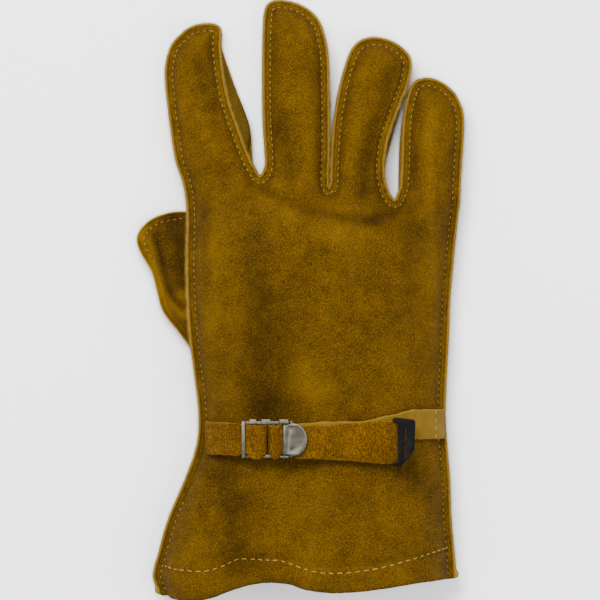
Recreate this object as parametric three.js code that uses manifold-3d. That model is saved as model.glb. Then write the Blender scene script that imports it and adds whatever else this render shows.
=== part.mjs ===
// Leather firefighter glove for the left hand, lying palm down with its thumb folded under the palm.
// Split cowhide panels are sewn with their seams outside: a back panel, a palm panel, three side strips
// between the fingers and a two-part thumb. A leather wrist strap crosses the back, with a pressed steel
// lever buckle and a black end hook.
// Frame: +Y runs from the cuff to the fingertips, +Z out of the back of the hand, +X towards the little
// finger. The origin is at the centre of the base of the glove's own box. All sizes are in millimetres.
import * as THREE from "three";
import { mergeVertices } from "three/addons/utils/BufferGeometryUtils.js";
import Module from "manifold-3d";

const wasm = await Module();
wasm.setup();

// Overall sizes of the sewn glove
const PALM_WIDTH = 122; // seam edge to seam edge across the knuckles
const HAND_LENGTH = 122; // wrist strap to the line where the fingers start
const CUFF_LENGTH = 68; // wrist strap to the cuff's mouth
const BODY_HEIGHT = 36; // floor to the top of the back panel
const FINGER_DEPTH = 25.5; // height of a finger where it leaves the hand
const TIP_DEPTH = 18; // height of a finger where its tip starts to round

// Leather and seams
const LEATHER = 1.8; // wall of the back, palm, thumb and straps
const STRIP_LEATHER = 1.4; // wall of the thinner strips between the fingers
const SEAM_ALLOWANCE = 3.2; // flat edge outside the stitches
const SEAM_GAP = 0.3; // space between two layers that lie on each other
const HEM_DEPTH = 13; // turned edge of the cuff
const SIDE_WALL = 11.8; // height of the strips between the fingers at the crotch

// Fingers: each has its length from the crotch line to the tip. Their tables' columns are:
// along, as a share of the length; left and right seam edges, as shares of the palm width from the centre;
// and how far the palm side's edge stands out past the back's edge at left and at right, in the same shares.
// shoulders are the rows where the rounded tip starts at left and right, and stripSteps is how many steps
// of the mesh the side strips go on from there.
const FINGERS = [
  {
    name: "index",
    length: 72,
    base: 1.038,
    tip: -0.433,
    shoulders: [4, 5],
    stripSteps: [0, 0],
    rows: [
      [0.1, -0.558, -0.274, 0, 0.013],
      [0.3, -0.577, -0.32, 0, 0.05],
      [0.5, -0.592, -0.36, 0, 0.05],
      [0.7, -0.6, -0.383, 0, 0.031],
      [0.85, -0.579, -0.392, 0, 0.015],
      [0.93, -0.54, -0.39, 0, 0.01],
      [0.98, -0.5, -0.396, 0, 0.008],
    ],
  },
  {
    name: "middle",
    length: 81.5,
    base: 1.05,
    tip: -0.165,
    shoulders: [4, 4],
    stripSteps: [1, 1],
    rows: [
      [0.1, -0.2135, 0.028, -0.006, 0.002],
      [0.3, -0.221, 0.029, -0.01, 0.003],
      [0.5, -0.223, 0.027, -0.01, 0.003],
      [0.7, -0.223, 0.022, -0.01, 0.002],
      [0.85, -0.221, -0.001, -0.008, 0.001],
      [0.93, -0.2165, -0.038, -0.004, 0],
      [0.98, -0.203, -0.095, 0, 0],
    ],
  },
  {
    name: "ring",
    length: 69.6,
    base: 1.004,
    tip: 0.202,
    shoulders: [4, 4],
    stripSteps: [1, 1],
    rows: [
      [0.1, 0.0385, 0.239, -0.003, 0.011],
      [0.3, 0.044, 0.2515, -0.004, 0.021],
      [0.5, 0.0565, 0.29, -0.004, 0.015],
      [0.7, 0.078, 0.3325, -0.004, 0.005],
      [0.85, 0.1027, 0.343, -0.002, 0.002],
      [0.93, 0.124, 0.31, 0, 0],
      [0.98, 0.155, 0.262, 0, 0],
    ],
  },
  {
    name: "little",
    length: 56,
    base: 0.958,
    tip: 0.4058,
    shoulders: [4, 4],
    stripSteps: [1, 0],
    rows: [
      [0.1, 0.3077, 0.534, -0.014, 0],
      [0.3, 0.3135, 0.539, -0.018, 0],
      [0.5, 0.3154, 0.545, -0.015, 0],
      [0.7, 0.322, 0.545, -0.009, 0],
      [0.85, 0.3365, 0.52, -0.003, 0],
      [0.93, 0.35, 0.486, 0, 0],
      [0.98, 0.37, 0.45, 0, 0],
    ],
  },
];

// Crotches between neighbouring fingers: left corner, bottom and right corner as shares of the palm width,
// then the height of the corners and of the bottom as shares of the hand length above the wrist.
const CROTCHES = [
  [-0.2596, -0.2365, -0.2154, 1.073, 1.0385],
  [0.025, 0.0308, 0.0377, 1.019, 0.994],
  [0.2558, 0.2827, 0.3019, 0.983, 0.946],
];

// Sides of the hand and cuff, from the mouth up. Columns: height above the wrist (shares of the hand
// length, or of the cuff length where it is negative), left and right edge as shares of the palm width, the
// seam's height at left and right, and the swell of the back above it, both as shares of the body height.
const SIDES = [
  [-1.0, -0.625, 0.515, 0.33, 0.33, 0.62],
  [-0.9, -0.645, 0.519, 0.33, 0.33, 0.61],
  [-0.75, -0.626, 0.51, 0.34, 0.33, 0.58],
  [-0.5, -0.586, 0.498, 0.36, 0.33, 0.53],
  [-0.25, -0.527, 0.493, 0.38, 0.33, 0.48],
  [0.0, -0.478, 0.482, 0.4, 0.33, 0.43],
  [0.12, -0.469, 0.475, 0.44, 0.32, 0.43],
  [0.28, -0.486, 0.481, 0.54, 0.31, 0.45],
  [0.42, -0.503, 0.488, 0.64, 0.3, 0.46],
  [0.58, -0.513, 0.495, 0.69, 0.3, 0.46],
  [0.74, -0.516, 0.509, 0.66, 0.3, 0.43],
  [0.9, -0.514, 0.526, 0.52, 0.3, 0.33],
];
const KNUCKLE_LEFT = [1.01, -0.5288]; // where the index finger's outer edge starts, as height and x shares
const KNUCKLE_RIGHT = [0.942, 0.531]; // where the little finger's outer edge starts

// Mouth of the cuff from left to right. Columns: share of the way across; how far the edge hangs past the
// corner line, as a share of the cuff length; swell of the back there, as a share of the body height.
const MOUTH = [
  [0.0, 0.0, 0.5],
  [0.08, 0.045, 0.56],
  [0.17, 0.035, 0.54],
  [0.31, -0.04, 0.4],
  [0.42, -0.035, 0.5],
  [0.5, 0.015, 0.64],
  [0.6, 0.04, 0.72],
  [0.72, 0.035, 0.7],
  [0.86, 0.01, 0.6],
  [1.0, 0.0, 0.5],
];
const MOUTH_CORNERS = [-1.0, -0.89]; // height of the mouth's left and right corners, in cuff lengths

// Folds of the back panel. Columns: start x and y, end x and y, half width and height. x and half width are
// shares of the palm width, y of the hand length above the wrist, height of the body height.
const BACK_FOLDS = [
  [-0.2, 0.5, -0.17, 0.06, 0.075, -0.15],
  [-0.36, 0.75, -0.35, 0.16, 0.07, 0.06],
  [-0.06, 0.3, -0.05, 0.1, 0.07, 0.06],
  [-0.22, 0.97, 0.0, 0.935, 0.035, -0.07],
  [0.0, 0.935, 0.25, 0.905, 0.035, -0.08],
  [-0.1, 0.8, 0.3, 0.78, 0.08, 0.03],
  [0.41, 0.9, 0.38, 0.4, 0.05, 0.05],
  [-0.42, -0.1, -0.3, -0.42, 0.08, -0.07],
  [-0.28, -0.28, -0.27, -0.56, 0.07, -0.08],
  [0.0, -0.2, 0.03, -0.56, 0.1, 0.05],
  [0.33, -0.08, 0.3, -0.4, 0.07, -0.04],
];

// Thumb, folded under the palm. Columns: along from its base to its tip; left and right edge as shares of
// the palm width; height of its side seam and of the palm panel that lies over it, as shares of the body
// height.
const THUMB_LENGTH = 93.8;
const THUMB_BASE = 0.135; // height of the thumb's lower end above the wrist, as a share of the hand length
const THUMB_TIP = -0.545; // x of the tip, as a share of the palm width
const THUMB = [
  [0.0, -0.44, -0.28, 0.06, 0.14],
  [0.1, -0.455, -0.268, 0.07, 0.2],
  [0.2, -0.47, -0.266, 0.1, 0.28],
  [0.3, -0.497, -0.275, 0.14, 0.36],
  [0.4, -0.552, -0.305, 0.17, 0.41],
  [0.5, -0.61, -0.346, 0.17, 0.41],
  [0.6, -0.633, -0.365, 0.17, 0.41],
  [0.7, -0.654, -0.385, 0.17, 0.41],
  [0.8, -0.698, -0.396, 0.17, 0.4],
  [0.87, -0.711, -0.404, 0.17, 0.39],
  [0.93, -0.685, -0.42, 0.17, 0.37],
  [0.975, -0.635, -0.452, 0.17, 0.35],
];
const THUMB_SHOULDER = THUMB.length - 3; // row where the thumb's rounded tip starts
const THUMB_HOLE = { x: -0.375, y: 0.36, halfWidth: 7.8, halfLength: 15 };

// Strap, buckle and end hook
const STRAP_WIDTH = 15.6; // suede face of the strap at the buckle
const STRAP_END_WIDTH = 20; // the same at its flared end
const ANCHOR_WIDTH = 15.2; // short strap at the thumb's side
const STRAP_UNDER_WIDTH = 13.8; // smooth run under the strap, and the tab at the little finger's side
const STRAP_Y = 0.0287; // middle of the buckle, as a share of the hand length above the wrist
const TAB_Y = 0.0859; // middle of the tab at the right-hand seam
const STRAP_BULK = 0.4; // play between two runs of strap
const UNDER_SHIFT = 1.5; // how far the lower run lies towards the fingers from the buckle's middle
const STRAP_HANG = 1.2; // how far the upper runs lie towards the cuff from the buckle's middle
const ANCHOR_SHIFT = 0.7; // how far the short strap's sewn end lies towards the fingers from it
const BUCKLE_X = -0.301; // left end of the buckle, as a share of the palm width
const BUCKLE_LENGTH = 23.4;
const BUCKLE_PLATE = 1.2; // thickness of the pressed steel
const BUCKLE_RAIL = 1.3; // width of a side rail
const BUCKLE_BAR = 1.4; // width of a cross bar
const BUCKLE_PLAY = 0.3; // sideways play of the strap in the buckle
const BUCKLE_SLOT = 0.35; // gap between the two strap loops in the middle of the buckle
const SLOT_SHARE = 0.496; // place of that gap along the buckle
const TOOTH_START = 6.6; // first raised block of the rail at the fingers' side
const TOOTH_PITCH = 8.45;
const TOOTH_LENGTH = 2.35;
const TOOTH_HEIGHT = 1.5;
const TAB_LENGTH = 4; // tabs that stand out of the same rail between the blocks
const TAB_REACH = 0.9;
const LEVER_LENGTH = 10.6;
const LEVER_HALF = 7.6; // half width of the lever's flap
const LEVER_PLATE = 1.1;
const LEVER_BARREL = 1.1; // radius of the rolled edge that the lever turns about
const LEVER_RIM = 0.7; // height of the raised rim of the lever
const PIVOT_INSET = 3.1; // from the buckle's right end to the lever's axis
const HOOK_X = 0.292; // left edge of the end hook, as a share of the palm width
const HOOK_LENGTH = 8.3;
const HOOK_WIDTH = 23;
const HOOK_PLATE = 1.3; // wall over the strap's end
const HOOK_JAW = 1; // wall under it
const HOOK_POCKET = 2.4; // depth of the pocket for the strap's end
const HOOK_CHAMFER = 7.5; // cut corner towards the cuff
const HOOK_WING = 2.5; // corners that reach over the strap's edges

// Colours of the finishes
const SUEDE = new THREE.MeshStandardMaterial({ color: 0x7d5713, roughness: 0.95, metalness: 0 });
const GRAIN_LEATHER = new THREE.MeshStandardMaterial({ color: 0x8f6e22, roughness: 0.75, metalness: 0 });
const STEEL = new THREE.MeshStandardMaterial({ color: 0xa3a098, roughness: 0.38, metalness: 1 });
const BLACK = new THREE.MeshStandardMaterial({ color: 0x1b1c1a, roughness: 0.5, metalness: 0 });

const wristHeight = (share) => share * (share < 0 ? CUFF_LENGTH : HAND_LENGTH);
const across = (share) => share * PALM_WIDTH;
const mix = (a, b, t) => a + (b - a) * t;
const clamp01 = (t) => Math.min(1, Math.max(0, t));
const smooth = (t) => clamp01(t) ** 2 * (3 - 2 * clamp01(t));
const dome = (t) => Math.sqrt(1 - (1 - clamp01(t)) ** 2);

// A smooth curve through rows of numbers, whose first two columns are x and y. at(share) gives a row.
function spline(rows) {
  const knots = [0];
  for (let i = 1; i < rows.length; i++) {
    knots.push(knots[i - 1] + Math.hypot(rows[i][0] - rows[i - 1][0], rows[i][1] - rows[i - 1][1]));
  }
  const total = knots[knots.length - 1];
  const slope = (i, k) => {
    const a = Math.max(i - 1, 0);
    const b = Math.min(i + 1, rows.length - 1);
    return (rows[b][k] - rows[a][k]) / (knots[b] - knots[a]);
  };
  const at = (share) => {
    const t = clamp01(share) * total;
    let i = 0;
    while (i < rows.length - 2 && t > knots[i + 1]) i++;
    const h = knots[i + 1] - knots[i];
    const f = (t - knots[i]) / h;
    return rows[i].map((p, k) => {
      const q = rows[i + 1][k];
      return (
        p * (2 * f ** 3 - 3 * f ** 2 + 1) +
        q * (3 * f ** 2 - 2 * f ** 3) +
        slope(i, k) * h * (f ** 3 - 2 * f ** 2 + f) +
        slope(i + 1, k) * h * (f ** 3 - f ** 2)
      );
    });
  };
  return { at, share: (row) => knots[row] / total };
}

// A table column at a share of the table's first column, straight between rows.
function lookup(table, key, column) {
  let i = 0;
  while (i < table.length - 2 && key > table[i + 1][0]) i++;
  const t = clamp01((key - table[i][0]) / (table[i + 1][0] - table[i][0]));
  return mix(table[i][column], table[i + 1][column], t);
}

// The sewn edge of a panel, from the mouth's left corner round the fingers to its right corner. Each row is
// x, y, seam height, swell above the seam and reach of the swell. Landmarks give the rows' numbers.
const FINGER_REACH = 11.5;
const HAND_REACH = 27;
const TIP_SEAM = 9; // height of the seam at the fingertips
const CROTCH_SEAM = 16.5; // height of the back's seam at the crotches
const OUTER_SEAM = 13; // height of the seam at the outer sides of the hand, where the fingers start
const FINGER_SWELL = FINGER_DEPTH - CROTCH_SEAM - LEATHER - SEAM_GAP / 2;
const TIP_SWELL = TIP_DEPTH - TIP_SEAM - LEATHER - SEAM_GAP / 2;
const WALL_SHARES = [1, 1, 0.96, 0.86, 0.72, 0.52, 0.14]; // side wall at each row of a finger's table

function panelOutline(isPalm) {
  const rows = [];
  const marks = {};
  const mark = (name) => {
    marks[name] = rows.length - 1;
  };
  const side = (row, column, seamColumn) => {
    const nearFingers = smooth((row[0] - 0.6) / 0.4);
    rows.push([
      across(row[column]),
      wristHeight(row[0]),
      row[seamColumn] * BODY_HEIGHT,
      row[5] * BODY_HEIGHT,
      mix(HAND_REACH, FINGER_REACH, nearFingers),
    ]);
  };
  SIDES.forEach((row) => side([row[0] === -1 ? MOUTH_CORNERS[0] : row[0], ...row.slice(1)], 1, 3));
  FINGERS.forEach((finger, f) => {
    const first = f === 0;
    const last = f === FINGERS.length - 1;
    const baseY = finger.base * HAND_LENGTH;
    const seamAt = (along, outer) => {
      return mix(outer ? OUTER_SEAM : CROTCH_SEAM, TIP_SEAM, smooth(along));
    };
    const wallAt = (row, outer) => (outer || !isPalm ? 0 : SIDE_WALL * WALL_SHARES[row]);
    const push = (row, isLeft) => {
      const values = finger.rows[row];
      const outer = isLeft ? first : last;
      const shift = isPalm ? values[isLeft ? 3 : 4] : 0;
      const x = across(values[isLeft ? 1 : 2] + shift);
      const y = baseY + values[0] * finger.length;
      const seam = seamAt(values[0], outer) - wallAt(row, outer);
      rows.push([x, y, seam, mix(FINGER_SWELL, TIP_SWELL, smooth(values[0])), FINGER_REACH]);
    };
    const corner = (x, y) => {
      const seam = CROTCH_SEAM - (isPalm ? SIDE_WALL : 0);
      rows.push([across(x), y * HAND_LENGTH, seam, FINGER_SWELL, FINGER_REACH]);
    };
    if (first) {
      const [height, x] = KNUCKLE_LEFT;
      rows.push([across(x), height * HAND_LENGTH, OUTER_SEAM, FINGER_SWELL, FINGER_REACH]);
    } else {
      corner(CROTCHES[f - 1][2], CROTCHES[f - 1][3]);
    }
    mark(finger.name + "Left");
    finger.rows.forEach((_, i) => {
      push(i, true);
      if (i === finger.shoulders[0]) mark(finger.name + "ShoulderLeft");
    });
    rows.push([across(finger.tip), baseY + finger.length, TIP_SEAM, TIP_SWELL, FINGER_REACH]);
    for (let i = finger.rows.length - 1; i >= 0; i--) {
      push(i, false);
      if (i === finger.shoulders[1]) mark(finger.name + "ShoulderRight");
    }
    if (last) {
      const [height, x] = KNUCKLE_RIGHT;
      rows.push([across(x), height * HAND_LENGTH, OUTER_SEAM, FINGER_SWELL, FINGER_REACH]);
    } else {
      corner(CROTCHES[f][0], CROTCHES[f][3]);
    }
    mark(finger.name + "Right");
    if (!last) corner(CROTCHES[f][1], CROTCHES[f][4]);
  });
  [...SIDES].reverse().forEach((row) => {
    if (row[0] < KNUCKLE_RIGHT[0] && row[0] > MOUTH_CORNERS[1]) side(row, 2, 4);
  });
  side([MOUTH_CORNERS[1], ...SIDES[0].slice(1)], 2, 4);
  const curve = spline(rows);
  // Rows of the outline between two landmarks, at shares of the way.
  marks.start = 0;
  marks.end = rows.length - 1;
  const between = (from, to, shares) =>
    shares.map((share) => {
      const row = curve.at(mix(curve.share(marks[from]), curve.share(marks[to]), share));
      row[2] = Math.max(row[2], LEATHER + SEAM_GAP / 2);
      return row;
    });
  return { between, edge: between("start", "end", evenly(360)) };
}

function evenly(count) {
  return Array.from({ length: count + 1 }, (_, i) => i / count);
}

// Nearest place on an open line of rows to a point of the plan: the distance, and the line's row there.
function nearestOn(line, x, y) {
  let best = { distance: Infinity };
  for (let i = 1; i < line.length; i++) {
    const [ax, ay] = line[i - 1];
    const dx = line[i][0] - ax;
    const dy = line[i][1] - ay;
    const t = clamp01(((x - ax) * dx + (y - ay) * dy) / (dx * dx + dy * dy || 1));
    const distance = Math.hypot(x - ax - t * dx, y - ay - t * dy);
    if (distance < best.distance) best = { distance, i, t };
  }
  return { distance: best.distance, row: line[best.i].map((v, k) => mix(line[best.i - 1][k], v, best.t)) };
}
const distanceTo = (line, x, y) => nearestOn(line, x, y).distance;

// A patch of rows between four edges. bottom and top run left to right, left and right run upwards.
function patch(bottom, top, left, right, us, vs) {
  return vs.map((v, j) =>
    us.map((u, i) =>
      bottom[i].map(
        (_, k) =>
          mix(bottom[i][k], top[i][k], v) +
          mix(left[j][k], right[j][k], u) -
          mix(mix(bottom[0][k], bottom.at(-1)[k], u), mix(top[0][k], top.at(-1)[k], u), v),
      ),
    ),
  );
}

// Evens out the plan of a patch, all but its edges and the two columns that follow the side seams.
const RELAX_ROUNDS = 12;
function relaxed(grid) {
  let now = grid;
  for (let round = 0; round < RELAX_ROUNDS; round++) {
    const last = now;
    now = last.map((row, j) =>
      row.map((p, i) => {
        if (j === 0 || j === last.length - 1 || i < 2 || i > row.length - 3) return p;
        const around = [row[i - 1], row[i + 1], last[j - 1][i], last[j + 1][i]];
        return p.map((v, k) => (around[0][k] + around[1][k] + around[2][k] + around[3][k]) / 4);
      }),
    );
  }
  return now;
}

// Welds grids of points into one sheet, and gives it a wall. Grids run left to right in each row and the
// rows upwards, so that the outer face looks up, or down if flipped. wallAt gives the wall at a point.
function sheetGeometry(grids, wallAt, flipped = false) {
  const points = [];
  const index = new Map();
  const weld = (p) => {
    const key = p.map((c) => Math.round(c * 1e3)).join();
    if (!index.has(key)) {
      index.set(key, points.length);
      points.push(new THREE.Vector3(...p));
    }
    return index.get(key);
  };
  const faces = [];
  const face = (a, b, c) => {
    if (a !== b && b !== c && c !== a) faces.push(flipped ? [a, c, b] : [a, b, c]);
  };
  grids.forEach((grid) => {
    for (let j = 1; j < grid.length; j++) {
      for (let i = 1; i < grid[j].length; i++) {
        const corners = [grid[j - 1][i - 1], grid[j - 1][i], grid[j][i], grid[j][i - 1]];
        const [a, b, c, d] = corners.map(weld);
        face(a, b, c);
        face(a, c, d);
      }
    }
  });
  const normals = points.map(() => new THREE.Vector3());
  const edges = new Map();
  faces.forEach((f) => {
    const [a, b, c] = f.map((i) => points[i]);
    const normal = new THREE.Vector3().crossVectors(b.clone().sub(a), c.clone().sub(a));
    f.forEach((i) => normals[i].add(normal));
    f.forEach((from, k) => edges.set(from + "," + f[(k + 1) % 3], [from, f[(k + 1) % 3]]));
  });
  const inner = points.map((p, i) => p.clone().addScaledVector(normals[i].normalize(), -wallAt(p.x, p.y)));
  const all = [...points, ...inner];
  const n = points.length;
  const triangles = [...faces, ...faces.map(([a, b, c]) => [a + n, c + n, b + n])];
  edges.forEach(([a, b]) => {
    if (edges.has(b + "," + a)) return;
    triangles.push([b, a, a + n], [b, a + n, b + n]);
  });
  const geometry = new THREE.BufferGeometry();
  geometry.setAttribute("position", new THREE.Float32BufferAttribute(all.flatMap((p) => [...p]), 3));
  geometry.setIndex(triangles.flat());
  return geometry;
}

// Heights at which a geometry's faces stand over or under a point of the plan.
function heightsOn(geometry, x, y) {
  const position = geometry.getAttribute("position");
  const found = [];
  for (let i = 0; i < geometry.index.count; i += 3) {
    const [p, q, r] = [0, 1, 2].map((k) => geometry.index.getX(i + k));
    const [px, qx, rx] = [p, q, r].map((k) => position.getX(k) - x);
    if ((px > 0 && qx > 0 && rx > 0) || (px < 0 && qx < 0 && rx < 0)) continue;
    const [py, qy, ry] = [p, q, r].map((k) => position.getY(k) - y);
    const area = (qx - px) * (ry - py) - (qy - py) * (rx - px);
    const a = (qx * ry - qy * rx) / area;
    const b = (rx * py - ry * px) / area;
    if (!(a >= -1e-9 && b >= -1e-9 && a + b <= 1 + 1e-9)) continue;
    found.push(a * position.getZ(p) + b * position.getZ(q) + (1 - a - b) * position.getZ(r));
  }
  return found;
}

// Height that the folds of a table add at a point of the plan.
function foldHeight(table, x, y) {
  let height = 0;
  table.forEach(([x0, y0, x1, y1, half, share]) => {
    const from = [across(x0), y0 * HAND_LENGTH];
    const to = [across(x1), y1 * HAND_LENGTH];
    const d = distanceTo([from, to], x, y) / across(half);
    height += share * BODY_HEIGHT * Math.exp(-d * d);
  });
  return height;
}

const thumbBaseY = THUMB_BASE * HAND_LENGTH;
const thumbRow = (y) => clamp01((y - thumbBaseY) / THUMB_LENGTH);

// The thumb's plan: its side rows up to the tip and back, then closed across its base.
const thumbPlan = [
  ...THUMB.map((row) => [across(row[1]), thumbBaseY + row[0] * THUMB_LENGTH]),
  [across(THUMB_TIP), thumbBaseY + THUMB_LENGTH],
  ...[...THUMB].reverse().map((row) => [across(row[2]), thumbBaseY + row[0] * THUMB_LENGTH]),
];
const THUMB_DRAPE = 15; // how far the palm panel reaches past the thumb before it is down on the floor
const THUMB_OVERLAP = 5; // how far in from the thumb's edge the palm panel is at its full height

// How far a point lies inside the thumb's plan, negative outside.
function insideThumb(x, y) {
  const closed = [...thumbPlan, thumbPlan[0]];
  let inside = false;
  for (let i = 1; i < closed.length; i++) {
    const [ax, ay] = closed[i - 1];
    const [bx, by] = closed[i];
    if (ay > y !== by > y && x < ax + ((y - ay) * (bx - ax)) / (by - ay)) inside = !inside;
  }
  return (inside ? 1 : -1) * distanceTo(closed, x, y);
}

// Lowest height that the palm panel may have where it lies over the thumb.
function overThumb(x, y) {
  const rise = smooth((insideThumb(x, y) + THUMB_DRAPE) / (THUMB_DRAPE + THUMB_OVERLAP));
  return lookup(THUMB, thumbRow(y), 4) * BODY_HEIGHT * rise;
}

// Outer face of a panel at one row of its patch. The seam's flat edge takes its height from the nearest
// place on the sewn edge, and the swell starts inside the stitches.
const PALM_REACH = 15;
function backPoint([x, y, seam, swell, reach], edge) {
  const near = nearestOn(edge, x, y);
  const d = near.distance - SEAM_ALLOWANCE;
  const settled = smooth(d / reach);
  const z = mix(near.row[2], seam, settled) + SEAM_GAP / 2 + hemmedWall(x, y) + dome(d / reach) * swell;
  return [x, y, z + settled * foldHeight(BACK_FOLDS, x, y)];
}

function palmPoint([x, y, seam, , reach], edge) {
  const near = nearestOn(edge, x, y);
  const d = near.distance - SEAM_ALLOWANCE;
  const share = d / Math.min(reach, PALM_REACH);
  const flange = mix(near.row[2], seam, smooth(share)) - SEAM_GAP / 2 - hemmedWall(x, y);
  const clear = Math.min(overThumb(x, y), flange);
  return [x, y, Math.max(flange * (1 - dome(share)), clear)];
}

// Shares across a finger: its two flat seam edges, and columns between them.
function fingerColumns(width) {
  const half = [0, SEAM_ALLOWANCE / width, 0.2, 0.34];
  return [...half, 0.5, ...half.map((share) => 1 - share).reverse()];
}

const FINGER_ROWS = [0, 0.16, 0.32, 0.48, 0.64, 0.78, 0.89, 1];
const HAND_ROWS = [0, 0.04, 0.09, 0.17, 0.25, 0.33, 0.41, 0.49, 0.58, 0.67, 0.76, 0.85, 0.93, 1];
const CROTCH_SHARES = [0, 0.25, 0.5, 0.75, 1];

// A hand panel as five patches: one for the hand and cuff, and one for each finger.
function panelGrids(isPalm) {
  const outline = panelOutline(isPalm);
  const straight = (a, b, shares) => shares.map((t) => a.map((v, k) => mix(v, b[k], t)));
  const grids = [];
  let top = [];
  FINGERS.forEach((finger, f) => {
    const name = finger.name;
    const left = outline.between(name + "Left", name + "ShoulderLeft", FINGER_ROWS);
    const right = outline.between(name + "Right", name + "ShoulderRight", FINGER_ROWS);
    const columns = fingerColumns(right[0][0] - left[0][0]);
    const bottom = straight(left[0], right[0], columns);
    const tip = outline.between(name + "ShoulderLeft", name + "ShoulderRight", columns);
    grids.push(patch(bottom, tip, left, right, columns, FINGER_ROWS));
    top = [...top, ...bottom];
    if (f < FINGERS.length - 1) {
      const next = FINGERS[f + 1].name + "Left";
      top = [...top, ...outline.between(name + "Right", next, CROTCH_SHARES).slice(1, -1)];
    }
  });
  const left = outline.between("start", "indexLeft", HAND_ROWS);
  const right = outline.between("end", "littleRight", HAND_ROWS);
  const span = top.at(-1)[0] - top[0][0];
  const columns = top.map((row) => (row[0] - top[0][0]) / span);
  const mouthWidth = right[0][0] - left[0][0];
  const flat = SEAM_ALLOWANCE / mouthWidth;
  const mouth = top.map((_, i) => {
    const last = top.length - 1;
    if (i === 0 || i === last) return i / last;
    const t = mix(columns[i], (i - 1) / (last - 2), 0.6);
    return mix(flat, 1 - flat, i === 1 ? 0 : i === last - 1 ? 1 : t);
  });
  const hang = spline(MOUTH.map(([t, drop, swell]) => [t, 0, drop, swell]));
  const bottom = mouth.map((t) => {
    const base = left[0].map((v, k) => mix(v, right[0][k], t));
    const [, , drop, swell] = hang.at(t);
    base[1] -= drop * CUFF_LENGTH;
    base[3] = swell * BODY_HEIGHT;
    return base;
  });
  grids.push(relaxed(patch(bottom, top, left, right, columns, HAND_ROWS)));
  const place = isPalm ? palmPoint : backPoint;
  return grids.map((grid) => grid.map((row) => row.map((p) => place(p, outline.edge))));
}

// The cuff's edge is turned in, so its wall is double there.
function hemmedWall(x, y) {
  const [left, right] = MOUTH_CORNERS.map(wristHeight);
  const mouthY = mix(left, right, clamp01(x / across(1.14) + 0.56));
  const above = (y - mouthY) / HEM_DEPTH;
  return above < 0.9 ? 2 * LEATHER : LEATHER;
}

const asManifold = (geometry) => {
  const plain = geometry.index ? geometry.toNonIndexed() : geometry.clone();
  const bare = new THREE.BufferGeometry().setAttribute("position", plain.getAttribute("position"));
  const merged = mergeVertices(bare, 1e-4);
  const vertProperties = new Float32Array(merged.attributes.position.array);
  const triVerts = new Uint32Array(merged.index.array);
  return new wasm.Manifold(new wasm.Mesh({ numProp: 3, vertProperties, triVerts }));
};

const fromManifold = (solid) => {
  const mesh = solid.getMesh();
  const geometry = new THREE.BufferGeometry();
  const positions = [];
  for (let i = 0; i < mesh.numVert; i++) {
    positions.push(...mesh.vertProperties.subarray(i * mesh.numProp, i * mesh.numProp + 3));
  }
  geometry.setAttribute("position", new THREE.Float32BufferAttribute(positions, 3));
  geometry.setIndex([...mesh.triVerts]);
  return geometry;
};

const joined = (geometries) => geometries.map(asManifold).reduce((a, b) => a.add(b));

const glove = new THREE.Group();
function addPiece(parent, name, geometry, material) {
  const mesh = new THREE.Mesh(geometry, material);
  mesh.name = name;
  parent.add(mesh);
  return mesh;
}

// Back panel
const backGrids = panelGrids(false);
const backGeometry = sheetGeometry(backGrids, hemmedWall);
addPiece(glove, "back_panel", backGeometry, SUEDE);

// Palm panel, with the hole that leads into the thumb. The thumb's upper half has the same hole, and the
// two edges lie on each other.
const HOLE_SIDES = 20;
const palmGeometry = sheetGeometry(panelGrids(true), hemmedWall, true);
const holeShape = new THREE.Shape();
holeShape.absellipse(
  across(THUMB_HOLE.x),
  THUMB_HOLE.y * HAND_LENGTH,
  THUMB_HOLE.halfWidth,
  THUMB_HOLE.halfLength,
  0,
  Math.PI * 2,
);
const holeCutter = new THREE.ExtrudeGeometry(holeShape, {
  depth: BODY_HEIGHT,
  bevelEnabled: false,
  curveSegments: HOLE_SIDES,
});
const withHole = (geometry) => fromManifold(asManifold(geometry).subtract(asManifold(holeCutter)));
addPiece(glove, "palm_panel", withHole(palmGeometry), SUEDE);

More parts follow.
